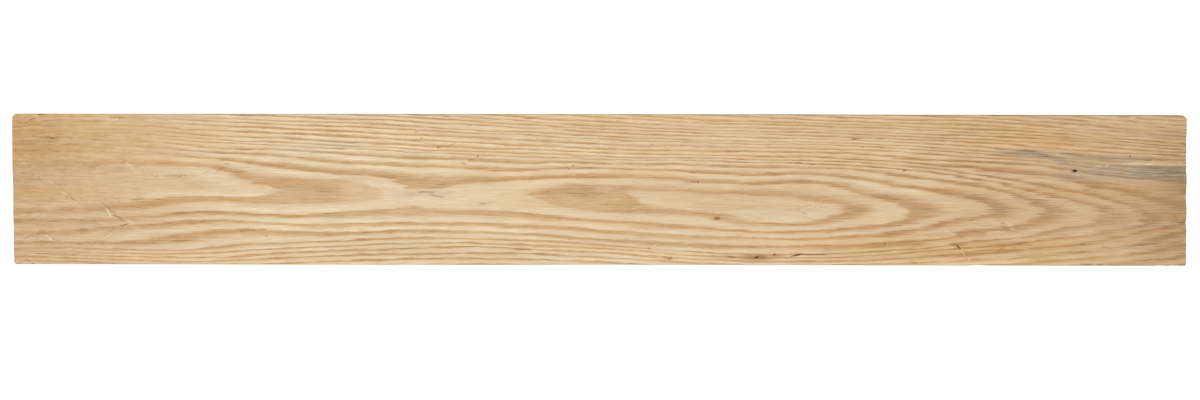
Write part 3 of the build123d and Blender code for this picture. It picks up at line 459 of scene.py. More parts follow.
# where the rings show less, or more where it is negative: (how much less, u, v, half length, half height)
CALM = [
    (-0.16, 290, 132, 130, 26), (-0.10, 300, 224, 130, 22),
    (0.08, 790, 190, 260, 90),
    (0.28, 1120, 138, 80, 14), (0.24, 690, 238, 70, 12), (0.16, 940, 226, 80, 26),
    (0.50, 730, 192.5, 120, 6), (0.55, 826, 199, 36, 8), (0.40, 640, 189, 40, 5), (0.45, 730, 219, 26, 5), (0.65, 40, 147, 64, 22),
    (0.85, 1166, 203, 46, 12), (0.35, 1150, 122, 60, 12), (0.50, 970, 233, 22, 5), (0.35, 900, 257, 80, 6), (0.30, 300, 190, 60, 4),
    (0.35, 1150, 235, 50, 14), (0.30, 40, 242, 50, 20),
]
# soft fields of tone: (how much lighter, u, v, half length, half height)
TONES = [
    (-0.12, 720, 166, 190, 15), (-0.12, 790, 203, 110, 12), (-0.12, 150, 222, 110, 20), (-0.06, 200, 125, 140, 14),
    (-0.30, 880, 196.5, 30, 3.0), (-0.16, 965, 252, 90, 10), (-0.12, 1040, 138, 90, 24), (-0.18, 582, 191, 12, 5),
    (-0.30, 30, 140, 90, 34), (-0.16, 60, 200, 90, 40), (-0.10, 60, 250, 90, 20),
    (-0.16, 205, 181, 66, 9), (0.10, 262, 194, 26, 5), (0.06, 330, 205, 90, 5), (0.06, 420, 150, 140, 40), (0.06, 640, 222, 130, 14), (-0.18, 540, 198, 34, 9),
    (-0.12, 740, 204, 90, 14), (-0.10, 660, 126, 200, 14), (-0.12, 860, 130, 120, 20), (-0.12, 880, 250, 160, 14),
    (-0.34, 1130, 200, 130, 80), (-0.50, 1186, 200, 46, 110), (-0.34, 1010, 226, 130, 22), (-0.26, 1050, 196, 90, 18),
    (-0.28, 16, 190, 50, 90), (-0.20, 960, 190, 60, 20), (0.34, 770, 249.4, 110, 1.7), (0.14, 800, 195, 60, 3), (0.12, 655, 189, 45, 3),
    (0.20, 300, 222, 140, 16), (0.12, 340, 160, 60, 16), (-0.14, 700, 200, 90, 10), (-0.22, 900, 233, 90, 14), (-0.20, 1000, 150, 120, 40), (-0.12, 1176, 190, 26, 60), (0.10, 1010, 212, 60, 20),
    (0.14, 305, 123, 34, 10), (-0.14, 450, 124, 40, 9), (-0.12, 790, 126, 110, 10), (-0.13, 1040, 128, 130, 14), (-0.10, 200, 147, 90, 10),
    (-0.14, 110, 168, 60, 10), (-0.16, 890, 166, 110, 10), (-0.12, 1005, 165, 40, 10), (-0.24, 795, 186, 40, 9), (-0.15, 150, 208, 60, 12),
    (-0.13, 90, 226, 60, 10), (-0.15, 725, 206, 34, 9), (-0.12, 865, 206, 40, 9), (0.16, 1078, 205, 34, 12), (0.12, 1078, 226, 34, 9),
    (-0.08, 100, 248, 80, 10), (-0.12, 235, 248, 34, 9), (-0.14, 510, 249, 120, 9), (-0.14, 900, 250, 130, 10), (-0.10, 1150, 248, 50, 12),
]


def stroke_distance(u, v, points):
    """Distance to a line of points, and how far along it each foot lies, 0 to 1."""
    p = np.array(points, float)
    lengths = np.hypot(*(p[1:] - p[:-1]).T)
    total = max(lengths.sum(), 1e-6)
    best = np.full(len(u), 1e9)
    along = np.zeros(len(u))
    run = 0.0
    for i in range(len(p) - 1):
        a, b = p[i], p[i + 1]
        d = b - a
        t = np.clip(((u - a[0]) * d[0] + (v - a[1]) * d[1]) / max(d @ d, 1e-9), 0, 1)
        dist = np.hypot(u - a[0] - t * d[0], v - a[1] - t * d[1])
        near = dist < best
        best = np.where(near, dist, best)
        along = np.where(near, (run + t * lengths[i]) / total, along)
        run += lengths[i]
    return best, along


KINDS = ("dark", "pale", "brown", "grey")


def wear_and_painted_light(u, v, kinds=KINDS, grow=0.0):
    """Marks at points of the show face: shape and force of each kind, soft smudges, depth in mm.

    A shape is a half at the mark's edge, more inside and less outside, with an even slope.
    """
    shape = {k: np.zeros(len(u)) for k in KINDS}
    force = {k: np.zeros(len(u)) for k in KINDS}
    smudge = {"brown": np.zeros(len(u)), "grey": np.zeros(len(u))}
    depth = np.zeros(len(u))
    wu = u + 0.3 + 0.5 * wave(u / 5.0, v / 1.6, 11)
    wv = v + 0.35 + 0.2 * wave(u / 4.0, v / 2.0, 12)
    for kind, strength, half, deep, points in STROKES:
        if kind not in kinds:
            continue
        p = np.array(points, float)
        pad = half + 3.4 + grow
        near = np.where((wu > p[:, 0].min() - pad) & (wu < p[:, 0].max() + pad)
                        & (wv > p[:, 1].min() - pad) & (wv < p[:, 1].max() + pad))[0]
        if not len(near):
            continue
        d, t = stroke_distance(wu[near], wv[near], points)
        taper = 0.75 + 0.35 * np.sin(np.pi * np.clip(t, 0.04, 0.96)) ** 0.6
        run = max(half, 0.85)
        m = np.clip(0.5 + (half * taper + grow - d) / (2 * run), 0, 1)
        win = near[(m > shape[kind][near]) | ((m == 0) & (force[kind][near] == 0))]
        force[kind][win] = strength
        shape[kind][near] = np.maximum(shape[kind][near], m)
        depth[near] = np.maximum(depth[near], deep * step(m, 0.25, 0.75))
    for kind, strength, cu, cv, ru, rv in SPOTS:
        d = np.hypot((wu - cu) / ru, (wv - cv) / rv)
        near = np.where(d < 1.5)[0]
        smudge[kind][near] = np.maximum(smudge[kind][near], strength * (1 - step(d[near], 0.2, 1.4)))
    return shape, force, smudge, depth


def inside_distance(u, v, outline):
    """Signed distance to a closed outline, positive inside; a pixel along the grain counts a quarter."""
    p = np.array(outline, float) / (4.0, 1.0)
    a, b = np.asarray(u) / 4.0, np.asarray(v)
    best = np.full(len(a), 1e9)
    inside = np.zeros(len(a), bool)
    for k in range(len(p)):
        q, r = p[k], p[(k + 1) % len(p)]
        e = r - q
        t = np.clip(((a - q[0]) * e[0] + (b - q[1]) * e[1]) / max(e @ e, 1e-9), 0, 1)
        best = np.minimum(best, np.hypot(a - q[0] - t * e[0], b - q[1] - t * e[1]))
        if q[1] != r[1]:
            cross = ((q[1] > b) != (r[1] > b)) & (a < (r[0] - q[0]) * (b - q[1]) / (r[1] - q[1]) + q[0])
            inside ^= cross
    return np.where(inside, best, -best)


def patches(u, v):
    cover = np.zeros(len(u))
    level = np.zeros(len(u))
    wu = u + 5.0 * wave(u / 22.0, v / 1.1, 61)
    for value, soft, outline in PATCHES:
        p = np.array(outline, float)
        near = np.where((wu > p[:, 0].min() - 30) & (wu < p[:, 0].max() + 30) & (v > p[:, 1].min() - 6) & (v < p[:, 1].max() + 6))[0]
        if not len(near):
            continue
        m = np.clip(0.5 + inside_distance(wu[near], v[near], outline) / (2.2 * soft), 0, 1)
        win = near[(m > cover[near]) | (m > 0.5) | ((m == 0) & (cover[near] == 0))]
        level[win] = value
        cover[near] = np.maximum(cover[near], m)
    return cover, level


# the iron stain, in pixels: (force, half height at each point, points)
STAIN = [
    (0.55, [0.3, 0.6, 0.8, 1.0, 0.9, 0.5], [(985, 147.5), (1000, 149), (1012, 150.2), (1022, 151.2), (1035, 151.6), (1046, 152.4)]),
    (0.50, [0.6, 2.2, 2.9, 3.0, 2.2], [(1001, 152.4), (1015, 153.4), (1028, 154.2), (1040, 155.4), (1053, 157.2)]),
    (0.34, [0.6, 1.6, 2.2, 2.5, 2.3, 1.5, 0.5], [(1060, 155.4), (1078, 156.6), (1094, 157.8), (1110, 158), (1126, 158.4), (1142, 159.6), (1154, 160.5)]),
    (0.36, [0.6, 1.8, 2.6, 2.6, 1.8], [(1049, 158.2), (1060, 161), (1068, 163.6), (1074, 166.8), (1079, 169)]),
    (0.30, [0.5, 1.8, 1.9, 0.5], [(1049, 175.4), (1060, 176), (1074, 176.4), (1086, 177)]),
    (0.24, [0.6, 2.4, 2.6, 0.8], [(1084, 165.2), (1100, 166), (1118, 166.4), (1131, 166.8)]),
    (0.34, [0.8, 2.2, 2.6, 2.6, 2.2], [(1082, 171.2), (1095, 171.6), (1108, 171.8), (1120, 172.2), (1132, 173)]),
    (0.62, [0.4, 4.6, 6.4, 6.5, 6.3, 6.0], [(1122, 172), (1132, 172.8), (1150, 173.4), (1165, 174.2), (1180, 174.2), (1194, 174.2)]),
]
STAIN_DARK = [
    (0.36, 0.5, [(1128, 167.3), (1142, 168.5), (1160, 168.2)]), (0.46, 0.45, [(1156, 174.0), (1168, 176.2), (1184, 179.3)]),
    (0.40, 0.5, [(1164, 170.2), (1176, 169.6), (1186, 170.4)]), (0.30, 0.45, [(1134, 173.4), (1146, 174.6), (1158, 177.4)]),
    (0.58, 0.55, [(1018, 150.2), (1026, 150.6), (1037, 151.2)]), (0.39, 0.4, [(985, 147.6), (998, 149.2), (1010, 150)]),
    (0.47, 0.5, [(1000, 153.4), (1015, 153.5), (1030, 154.2)]), (0.55, 0.6, [(1039, 156.2), (1052, 157.2), (1066, 158.6)]),
    (0.47, 0.5, [(1054, 160), (1062, 160.9), (1071, 162.2)]), (0.58, 0.55, [(1058, 153.2), (1070, 154.2), (1086, 155.2)]),
    (0.35, 0.5, [(1085, 157.2), (1105, 158.6), (1125, 159)]), (0.58, 0.6, [(1142, 159.4), (1149, 160.1), (1155, 160.7)]),
    (0.52, 0.6, [(1083, 173), (1100, 174.5), (1115, 176), (1135, 179), (1150, 180.4)]),
    (0.44, 0.7, [(1128, 167.6), (1136, 167), (1150, 166.9), (1165, 168), (1192, 169)]),
    (0.34, 0.8, [(1150, 179), (1162, 180.1), (1176, 179.8), (1192, 179.5)]),
    (0.34, 0.5, [(1126, 171.6), (1145, 172.2), (1160, 173.8), (1178, 174.2)]), (0.43, 0.6, [(1139, 176), (1155, 177), (1172, 176.8), (1192, 176.4)]),
    (0.31, 0.6, [(1150, 169.6), (1170, 171), (1192, 171.6)]), (0.43, 0.5, [(1164, 172.6), (1176, 173), (1192, 172.8)]),
]
STAIN_PALE = [
    ("pale", 0.12, 0.7, 0.0, [(1037, 151.9), (1048, 152.3), (1060, 153)]),
    ("pale", 0.36, 1.1, 0.0, [(1124, 164), (1140, 163.6), (1155, 164), (1170, 164.2), (1188, 164.8)]),
    ("pale", 0.80, 0.8, 0.0, [(1148, 164.6), (1154, 163.9), (1160, 164)]),
    ("grey", 0.55, 0.8, 0.0, [(1078.4, 170.6), (1080, 170.4)]),
]
STROKES += STAIN_PALE


def stain(u, v):
    """Shape and force of the soaked wood, then of the dark streaks in it."""
    soak, soak_force, streak, streak_force = (np.zeros(len(u)) for _ in range(4))
    wu = u + 4.0 * wave(u / 24.0, v / 1.1, 21)
    wv = v + 0.35 * wave(u / 9.0, v / 2.0, 22)
    for strength, halves, points in STAIN:
        d, t = stroke_distance(wu, wv, points)
        p = np.array(points, float)
        run = np.concatenate([[0], np.cumsum(np.hypot(*(p[1:] - p[:-1]).T))])
        m = np.clip(0.5 + (np.interp(t, run / run[-1], halves) - d) / 2.4, 0, 1)
        soak_force = np.where((m > soak) | ((m == 0) & (d < 6) & (soak_force == 0)), strength, soak_force)
        soak = np.maximum(soak, m)
    for strength, half, points in STAIN_DARK:
        d, t = stroke_distance(wu, wv, points)
        m = np.clip(0.5 + (half * (0.6 + 0.5 * np.sin(np.pi * np.clip(t, 0.05, 0.95))) - d) / 1.8, 0, 1)
        streak_force = np.where((m > streak) | ((m == 0) & (d < 4) & (streak_force == 0)), strength, streak_force)
        streak = np.maximum(streak, m)
    return soak, soak_force, streak, streak_force


def tones(u, v):
    t = np.zeros(len(u))
    for lift, cu, cv, ru, rv in TONES:
        t += lift * np.exp(-((u - cu) / ru) ** 2 - ((v - cv) / rv) ** 2)
    return t


def band_contrast(u, v):
    """How strongly light and dark bands differ: weak at the handled left end and towards the right end."""
    low = 0.27 + 0.30 * step(v, 195, 235)
    left = low + (1 - low) * step(u + 0.5 * (v - 190), 90, 240)
    right = 1 - 0.56 * step(u, 900, 1120) * (0.42 + 0.58 * step(v, 150, 190))
    dense = 1 - 0.18 * step(u, 480, 620) * (1 - step(v, 130, 165)) - 0.12 * step(u, 700, 900) * step(v, 240, 256)
    calm = np.ones(len(u))
    for less, cu, cv, ru, rv in CALM:
        calm *= 1 - less * np.exp(-((u - cu) / ru) ** 2 - ((v - cv) / rv) ** 2)
    return left * right * dense * calm


# how far the grain leaves the straight: lines of fibres, (u, v), and how much they follow
FIBRES = [
    (1.0, RINGS[9]),
    (0.4, [(0, 182), (270, 187), (450, 194), (640, 199), (840, 208), (1000, 209), (1200, 214)]),
    (1.0, [(12, 253.2), (60, 253.6), (108, 255.2), (144, 256.2), (216, 256.4), (252, 254.4), (324, 250.7), (396, 248.2),
           (468, 246.4), (540, 248.9), (612, 252.4), (672, 257.0), (740, 260.2), (816, 260.7), (888, 258.4), (972, 253.0),
           (1044, 247.5), (1104, 243.0), (1190, 237.0)]),
]


def drift(u, v):
    """How far in pixels the grain at a point has drifted across the board, from its place at the middle."""
    at, off = [], []
    for follow, points in FIBRES:
        p = np.array(points, float)
        y = np.interp(u, p[:, 0], p[:, 1])
        at.append(y)
        off.append(follow * (y - np.interp(600.0, p[:, 0], p[:, 1])))
    at, off = np.array(at), np.array(off)
    out = np.where(v < at[0], off[0], 0.0)
    for k in (0, 1):
        t = np.clip((v - at[k]) / (at[k + 1] - at[k]), 0, 1)
        t = t * t * (3 - 2 * t)
        out = np.where(v >= at[k], off[k] * (1 - t) + off[k + 1] * t, out)
    return out


# ---------------------------------------------------------------------------
# outline of the board, mm, the same as in the CAD part
# ---------------------------------------------------------------------------
LEFT_END = [(-68.0, -597.8), (-54.5, -598.0), (-38.5, -598.2), (-30.0, -598.65), (-14.0, -598.8), (2.0, -598.95),
            (10.5, -599.2), (19.0, -599.6), (31.0, -599.75), (47.0, -599.9), (66.0, -600.0)]
RIGHT_END = [(-68.0, 599.3), (-61.0, 599.35), (-57.3, 599.55), (-53.3, 599.3), (-45.1, 599.5), (-41.0, 599.75),
             (-37.0, 599.4), (-32.9, 598.85), (-28.8, 599.55), (-24.7, 599.7), (-18.5, 599.85), (-12.4, 599.35),
             (-8.6, 599.2), (-6.7, 598.8), (-4.3, 599.45), (3.9, 599.55), (8.0, 600.0), (12.1, 599.8), (16.2, 599.6),
             (20.3, 599.3), (28.4, 599.45), (32.5, 599.05), (36.6, 599.3), (40.7, 599.55), (49.0, 599.25), (53.0, 599.3),
             (57.1, 599.75), (61.1, 599.9), (69.3, 599.9)]
LOW_EDGE = [(-572.0, -77.05), (-401.0, -77.05), (-303.0, -77.2), (-107.0, -77.15), (-9.0, -76.85), (187.0, -76.9),
            (285.0, -77.15), (372.0, -77.2), (381.5, -77.1), (384.5, -76.4), (389.5, -76.35), (392.5, -77.1),
            (481.0, -77.25), (566.0, -77.2), (573.5, -76.75), (579.5, -77.15), (586.0, -76.75), (592.0, -77.05)]
HIGH_EDGE = [(-572.0, 76.85), (-499.0, 76.75), (-401.0, 76.9), (-303.0, 77.0), (-107.0, 77.1), (89.0, 77.15),
             (187.0, 77.25), (285.0, 77.0), (383.0, 77.0), (579.0, 76.9), (592.3, 76.85)]
# corners: (end, edge, reach along x, reach along y)
CORNERS = [(-1, 1, 5.2, 5.2), (-1, -1, 3.2, 3.2), (1, -1, 1.8, 1.8), (1, 1, 7.4, 5.4)]
ARRIS = 0.9
NAIL = (485.0, 19.8)
NAIL_MOUTH = (2.7, 1.22)
NAIL_FOOT = (1.25, 0.85)
NAIL_DEEP = 12.6
CHECK_Y, CHECK_TIP, CHECK_FLOOR = -32.9, 588.8, 16.0


def line(table, at):
    t = np.array(table, float)
    return np.interp(at, t[:, 0], t[:, 1])


def place(x, y, inset):
    """Nominal board coordinates (x in -600..600, y in -77.05..77.05) to the real outline, drawn in by inset."""
    k = y / HALF_W
    low, high = line(LOW_EDGE, x) + inset, line(HIGH_EDGE, x) - inset
    yy = low + (high - low) * (k + 1) / 2
    left, right = line(LEFT_END, yy) + inset, line(RIGHT_END, yy) - inset
    xx = x + (left + HALF_L) * (1 - step(x, -HALF_L, -HALF_L + 60)) + (right - HALF_L) * step(x, HALF_L - 60, HALF_L)
    for ex, ey, rx, ry in CORNERS:
        rx, ry = max(rx - inset, 0.25), max(ry - inset, 0.25)
        end = left if ex < 0 else right
        edge = low if ey < 0 else high
        a = 1 - (xx - end) * -ex / rx if ex > 0 else 1 - (xx - end) / rx
        b = 1 - (yy - edge) * -ey / ry if ey > 0 else 1 - (yy - edge) / ry
        inside = (a > 0) & (b > 0)
        big = np.maximum(a, b)
        size = np.hypot(a, b) + 1e-9
        na, nb = a * big / size, b * big / size
        xx = np.where(inside, end + ex * (na - 1) * rx, xx)
        yy = np.where(inside, edge + ey * (nb - 1) * ry, yy)
    return xx, yy


# ---------------------------------------------------------------------------
# the mesh: a grid on the show face, finer where there is something to see
# ---------------------------------------------------------------------------
def columns():
    xs = [-HALF_L]
    while xs[-1] < HALF_L:
        x = xs[-1]
        if x < -595:
            d = 1.3
        elif x < -372 or x > 452:
            d = 3.6
        else:
            d = 7.0
        if x > 592:
            d = 1.3
        xs.append(x + d)
    xs = np.array(xs)
    # spread the rest so that the last column is at the end
    xs[-1] = HALF_L
    if xs[-1] - xs[-2] < 0.6:
        xs = np.delete(xs, -2)
    return xs


XS = columns()
M = 256
YS = np.linspace(-HALF_W, HALF_W, M + 1)
N = len(XS) - 1
check_row = int(np.argmin(np.abs(YS - CHECK_Y)))

field = RingField()


def on_face(x, y):
    u, v = to_pixels(x, y)
    return u, v


def ring_at(u, v, jag=True):
    """Ring value on the show face, with the fibres' jagged ends."""
    if jag:
        shift = 7.0 * wave(u / 70.0, v / 1.05, 31) + 3.5 * wave(u / 26.0, v / 0.8, 32)
        lift = 0.22 * wave(u / 34.0, v / 3.0, 33)
    else:
        shift, lift = 0.0, 0.0
    return field(np.clip(u + shift, 8, 1194), np.clip(v + lift, 110, 268))


# --- nodes of the show face ---
gx, gy = np.meshgrid(XS, YS, indexing="ij")
# rows beside the end check draw together towards the right end
squeeze = step(gx, 560, 597)
for off in (-1, 1):
    j = check_row + off
    target = CHECK_Y + off * 0.15
    gy[:, j] += (target - gy[:, j]) * squeeze[:, j]
for off in (-3, -2, 2, 3):
    j = check_row + off
    w = {2: 0.5, 3: 0.2}[abs(off)]
    target = CHECK_Y + math.copysign(0.15, off) + off * 0.5
    gy[:, j] += (target - gy[:, j]) * squeeze[:, j] * w
gy[:, check_row] += (CHECK_Y - gy[:, check_row]) * squeeze[:, check_row]

fx, fy = place(gx.ravel(), gy.ravel(), ARRIS)
fx, fy = fx.reshape(gx.shape), fy.reshape(gx.shape)
# the check's own row ends at the tip of the split
tail = np.where(XS > 575)[0]
run = np.linspace(0, 1, len(tail))
fx[tail, check_row] = fx[tail[0], check_row] + (CHECK_TIP - fx[tail[0], check_row]) * run

verts = [np.column_stack([fx.ravel(), fy.ravel(), np.full(fx.size, THICK)])]
count = fx.size


def top_id(i, j):
    return i * (M + 1) + j


# --- which cells are cut finer along the grain ---
cx, cy = (fx[:-1, :-1] + fx[1:, 1:]) / 2, (fy[:-1, :-1] + fy[1:, 1:]) / 2
cu, cv = on_face(cx.ravel(), cy.ravel())
wide = np.repeat(np.diff(XS)[:, None] / PX, M, axis=1).ravel()
need = np.zeros(cx.size, bool)
for part in (-0.36, -0.12, 0.12, 0.36):
    busy = wear_and_painted_light(cu + part * wide, cv, kinds=("dark", "pale", "brown"), grow=0.6)[0]
    need |= np.maximum(np.maximum(busy["dark"], busy["pale"]), busy["brown"]) > 0.5
need = need.reshape(cx.shape)
# the tips of the nested rings
for tu, tv, ru, rv in ((277, 190, 26, 9), (560, 196, 34, 10), (620, 200, 26, 10), (432, 183, 34, 5), (850, 209, 24, 9),
                       (918, 211, 20, 10), (998, 209, 20, 12), (1048, 209, 16, 11), (180, 236, 26, 7), (1110, 213, 18, 9),
                       (956, 235, 22, 6), (230, 172, 40, 6), (700, 213, 44, 6)):
    need |= (((cu - tu) / ru) ** 2 + ((cv - tv) / rv) ** 2 < 1).reshape(cx.shape)
# never on the rim, the nail hole's block or the check
nail_i0 = int(np.searchsorted(XS, NAIL[0] - 4.6)) - 1
nail_i1 = int(np.searchsorted(XS, NAIL[0] + 4.6))
nail_j0 = int(np.searchsorted(YS, NAIL[1] - 3.0)) - 1
nail_j1 = int(np.searchsorted(YS, NAIL[1] + 3.0))
need[:2, :] = need[-2:, :] = False
need[:, 0] = need[:, -1] = False
need[nail_i0 - 1:nail_i1 + 1, nail_j0 - 1:nail_j1 + 1] = False
need[tail[0] - 1:, check_row - 4:check_row + 4] = False
CUTS = np.where(np.diff(XS) > 5, 4, 2)

# extra points on the long sides of those cells
edge_points = {}
extra = []
for i in range(N):
    rows = np.where(need[i])[0]
    if not len(rows):
        continue
    wanted = sorted(set(rows.tolist()) | set((rows + 1).tolist()))
    cuts = int(CUTS[i])
    for j in wanted:
        a = np.array([fx[i, j], fy[i, j]])
        b = np.array([fx[i + 1, j], fy[i + 1, j]])
        ids = []
        for k in range(1, cuts + 1):
            p = a + (b - a) * k / (cuts + 1)
            ids.append(count + len(extra))
            extra.append((p[0], p[1], THICK))
        edge_points[(i, j)] = ids
if extra:
    verts.append(np.array(extra))
    count += len(extra)
n_face = count

faces = []
kinds = []          # 0 show face, 1 +Y edge, 2 -Y edge, 3 left end, 4 right end, 5 back, 6 nail hole


def zip_strip(a, b, kind, pa=None, pb=None):
    """Faces between two runs of vertices that go the same way; a is on the right of b."""
    na, nb = len(a), len(b)
    if na == nb:
        for k in range(na - 1):
            faces.append((a[k], a[k + 1], b[k + 1], b[k]))
            kinds.append(kind)
        return
    pa = np.linspace(0, 1, na) if pa is None else pa
    pb = np.linspace(0, 1, nb) if pb is None else pb
    i = j = 0
    while i < na - 1 or j < nb - 1:
        if j == nb - 1 or (i < na - 1 and pa[i + 1] <= pb[j + 1]):
            faces.append((a[i], a[i + 1], b[j]))
            i += 1
        else:
            faces.append((a[i], b[j + 1], b[j]))
            j += 1
        kinds.append(kind)


for i in range(N):
    for j in range(M):
        if nail_i0 <= i < nail_i1 and nail_j0 <= j < nail_j1:
            continue
        low = edge_points.get((i, j))
        high = edge_points.get((i, j + 1))
        a = [top_id(i, j)] + (low or []) + [top_id(i + 1, j)]
        b = [top_id(i, j + 1)] + (high or []) + [top_id(i + 1, j + 1)]
        zip_strip(a, b, 0)

# --- nail hole: the block's rim drawn in to an oval, then down ---
rim = [(i, nail_j0) for i in range(nail_i0, nail_i1)]
rim += [(nail_i1, j) for j in range(nail_j0, nail_j1)]
rim += [(i, nail_j1) for i in range(nail_i1, nail_i0, -1)]
rim += [(nail_i0, j) for j in range(nail_j1, nail_j0, -1)]
rim_ids = [top_id(i, j) for i, j in rim]
rim_xy = np.array([(fx[i, j] - NAIL[0], fy[i, j] - NAIL[1]) for i, j in rim])
turn = np.arctan2(rim_xy[:, 1] / 3.0, rim_xy[:, 0] / 4.6)
wobble = 1 + 0.07 * np.sin(3 * turn + 0.6) + 0.05 * np.sin(5 * turn + 2.0)
loops = [rim_ids]
hole_first = count
levels = [(3.7, 1.85, 0.0), (3.2, 1.5, 0.05), (NAIL_MOUTH[0], NAIL_MOUTH[1], 0.30), (1.95, 1.06, 0.8), (1.62, 0.99, 1.8),
          (1.55, 0.97, 3.2), (1.48, 0.95, 5.5), (1.42, 0.93, 8.5), (1.36, 0.915, 11.0), (NAIL_FOOT[0], NAIL_FOOT[1], NAIL_DEEP)]
hole_depth = {}
for ra, rb, deep in levels:
    ring = []
    amount = 1 + (wobble - 1) * (1.0 if deep < 1 else 0.7 if deep < 2 else 0.6)      # each ring stays inside the last
    lean = min(1.0, deep / 0.8)          # the shaft leans a little to the right of its torn mouth
    pts = np.column_stack([NAIL[0] + 0.6 * lean + ra * np.cos(turn) * amount, NAIL[1] - 0.1 * lean + rb * np.sin(turn) * amount,
                           np.full(len(turn), THICK - deep)])
    ring = list(range(count, count + len(pts)))
    for k in ring:
        hole_depth[k] = deep
    verts.append(pts)
    count += len(pts)
    loops.append(ring)
foot = count
verts.append(np.array([(NAIL[0] + 0.6, NAIL[1] - 0.1, THICK - NAIL_DEEP)]))
hole_depth[foot] = NAIL_DEEP
count += 1
for a, b in zip(loops, loops[1:]):
    n = len(a)
    for k in range(n):
        faces.append((a[k], a[(k + 1) % n], b[(k + 1) % n], b[k]))
        kinds.append(6)
last = loops[-1]
for k in range(len(last)):
    faces.append((last[k], last[(k + 1) % len(last)], foot))
    kinds.append(6)

# --- rim loops down the sides ---
rim_nodes = [(i, 0) for i in range(N)] + [(N, j) for j in range(M)] + [(i, M) for i in range(N, 0, -1)] \
    + [(0, j) for j in range(M, 0, -1)]
rim_kind = [2] * N + [4] * M + [1] * N + [3] * M
rn = np.array(rim_nodes)
rx0, ry0 = XS[rn[:, 0]], gy[rn[:, 0], rn[:, 1]]
LEVELS = [(0.52, 21.93), (0.22, 21.70), (0.04, 21.25), (0.0, 18.6), (0.0, 16.05), (0.0, 15.95), (0.0, 9.0),
          (0.0, 0.95), (0.25, 0.28), (0.9, 0.0)]
loops = [[top_id(i, j) for i, j in rim_nodes]]
loop_levels = [(ARRIS, THICK)]
check_rim = rim_nodes.index((N, check_row))
end_mask = np.array([k in (3, 4) for k in rim_kind])
side_first = count
for inset, z in LEVELS:
    px, py = place(rx0, ry0, inset)
    if 1.5 < z < 21.5:
        # sawn ends and edges: a little less than flat, only inwards
        saw = 0.05 + 0.05 * wave(py / 2.2, np.full(len(py), z) / 5.0, 41) + 0.03 * wave(px / 14.0, np.full(len(px), z) / 3.0, 42)
        saw = np.clip(saw, 0, 0.14)
        px = np.where(end_mask, px - np.sign(px) * saw, px)
        py = np.where(end_mask, py, py - np.sign(py) * saw * 0.6)
    zz = np.full(len(px), z)
    if z > CHECK_FLOOR:
        px[check_rim] = CHECK_TIP
        py[check_rim] = CHECK_Y
    loops.append(list(range(count, count + len(px))))
    loop_levels.append((inset, z))
    verts.append(np.column_stack([px, py, zz]))
    count += len(px)
for li in range(len(loops) - 1):
    a, b = loops[li], loops[li + 1]
    n = len(a)
    for k in range(n):
        kind = rim_kind[k]
        if li < 3:
            kind = 0
        elif li >= 8:
            kind = 5
        # outwards: seen from outside, the lower loop is below
        faces.append((b[k], b[(k + 1) % n], a[(k + 1) % n], a[k]))
        kinds.append(kind)

# --- the back ---
MB = 24
base = loops[-1]
back_first = count
rows_b = np.linspace(-HALF_W, HALF_W, MB + 1)
bx, by = np.meshgrid(XS[1:-1], rows_b[1:-1], indexing="ij")
qx, qy = place(bx.ravel(), by.ravel(), ARRIS)
# the last columns stand back from the wavy right end, so that no face folds over
qx = qx - 3.0 * step(qx, 530, 599)
qz = 0.05 + 0.05 * wave(qx / 60.0, qy / 14.0, 43)
verts.append(np.column_stack([qx, qy, np.clip(qz, 0, 0.12)]))
count += len(qx)


def back_id(i, j):
    """Back node for column i and coarse row j; rim nodes are the last loop's."""
    if j == 0:
        return base[i] if i < N else base[N]
    if j == MB:
        return base[N + M + (N - i)]
    return back_first + (i - 1) * (MB - 1) + (j - 1)


for i in range(1, N - 1):
    for j in range(MB):
        faces.append((back_id(i, j), back_id(i, j + 1), back_id(i + 1, j + 1), back_id(i + 1, j)))
        kinds.append(5)
right_run = [base[N + j] for j in range(M + 1)]
left_run = [base[(2 * N + M + (M - j)) % len(base)] for j in range(M + 1)]
near_right = [back_id(N - 1, j) for j in range(MB + 1)]
near_left = [back_id(1, j) for j in range(MB + 1)]
zip_strip(right_run, near_right, 5)
# turn those over so that they face down

V = np.vstack(verts)


def facing(face):
    p = V[list(face)]
    n = np.zeros(3)
    for k in range(len(p)):
        n += np.cross(p[k], p[(k + 1) % len(p)])
    return n


zip_strip(near_left, left_run, 5)
for f in range(len(faces)):
    if kinds[f] == 5 and len(faces[f]) == 3 or (kinds[f] == 5 and V[list(faces[f]), 2].max() < 0.2):
        if facing(faces[f])[2] > 0:
            faces[f] = tuple(reversed(faces[f]))

# ---------------------------------------------------------------------------
# what each vertex carries
# ---------------------------------------------------------------------------
nv = len(V)
ring, pack, crisp, tone, flow, edge = (np.zeros(nv) for _ in range(6))
patch, patch_level, hole_shade_and_rust = (np.zeros(nv) for _ in range(3))
iron, iron_force, streak, streak_force = (np.zeros(nv) for _ in range(4))
shape = {k: np.zeros(nv) for k in KINDS}
force = {k: np.zeros(nv) for k in KINDS}
soil = {"brown": np.zeros(nv), "grey": np.zeros(nv)}

# how far below the show face the pith runs, and its line across the face
PITH = 45.0
PITH_LINE = [(0, 182), (270, 187), (450, 194), (640, 199), (840, 208), (1000, 209), (1200, 214)]


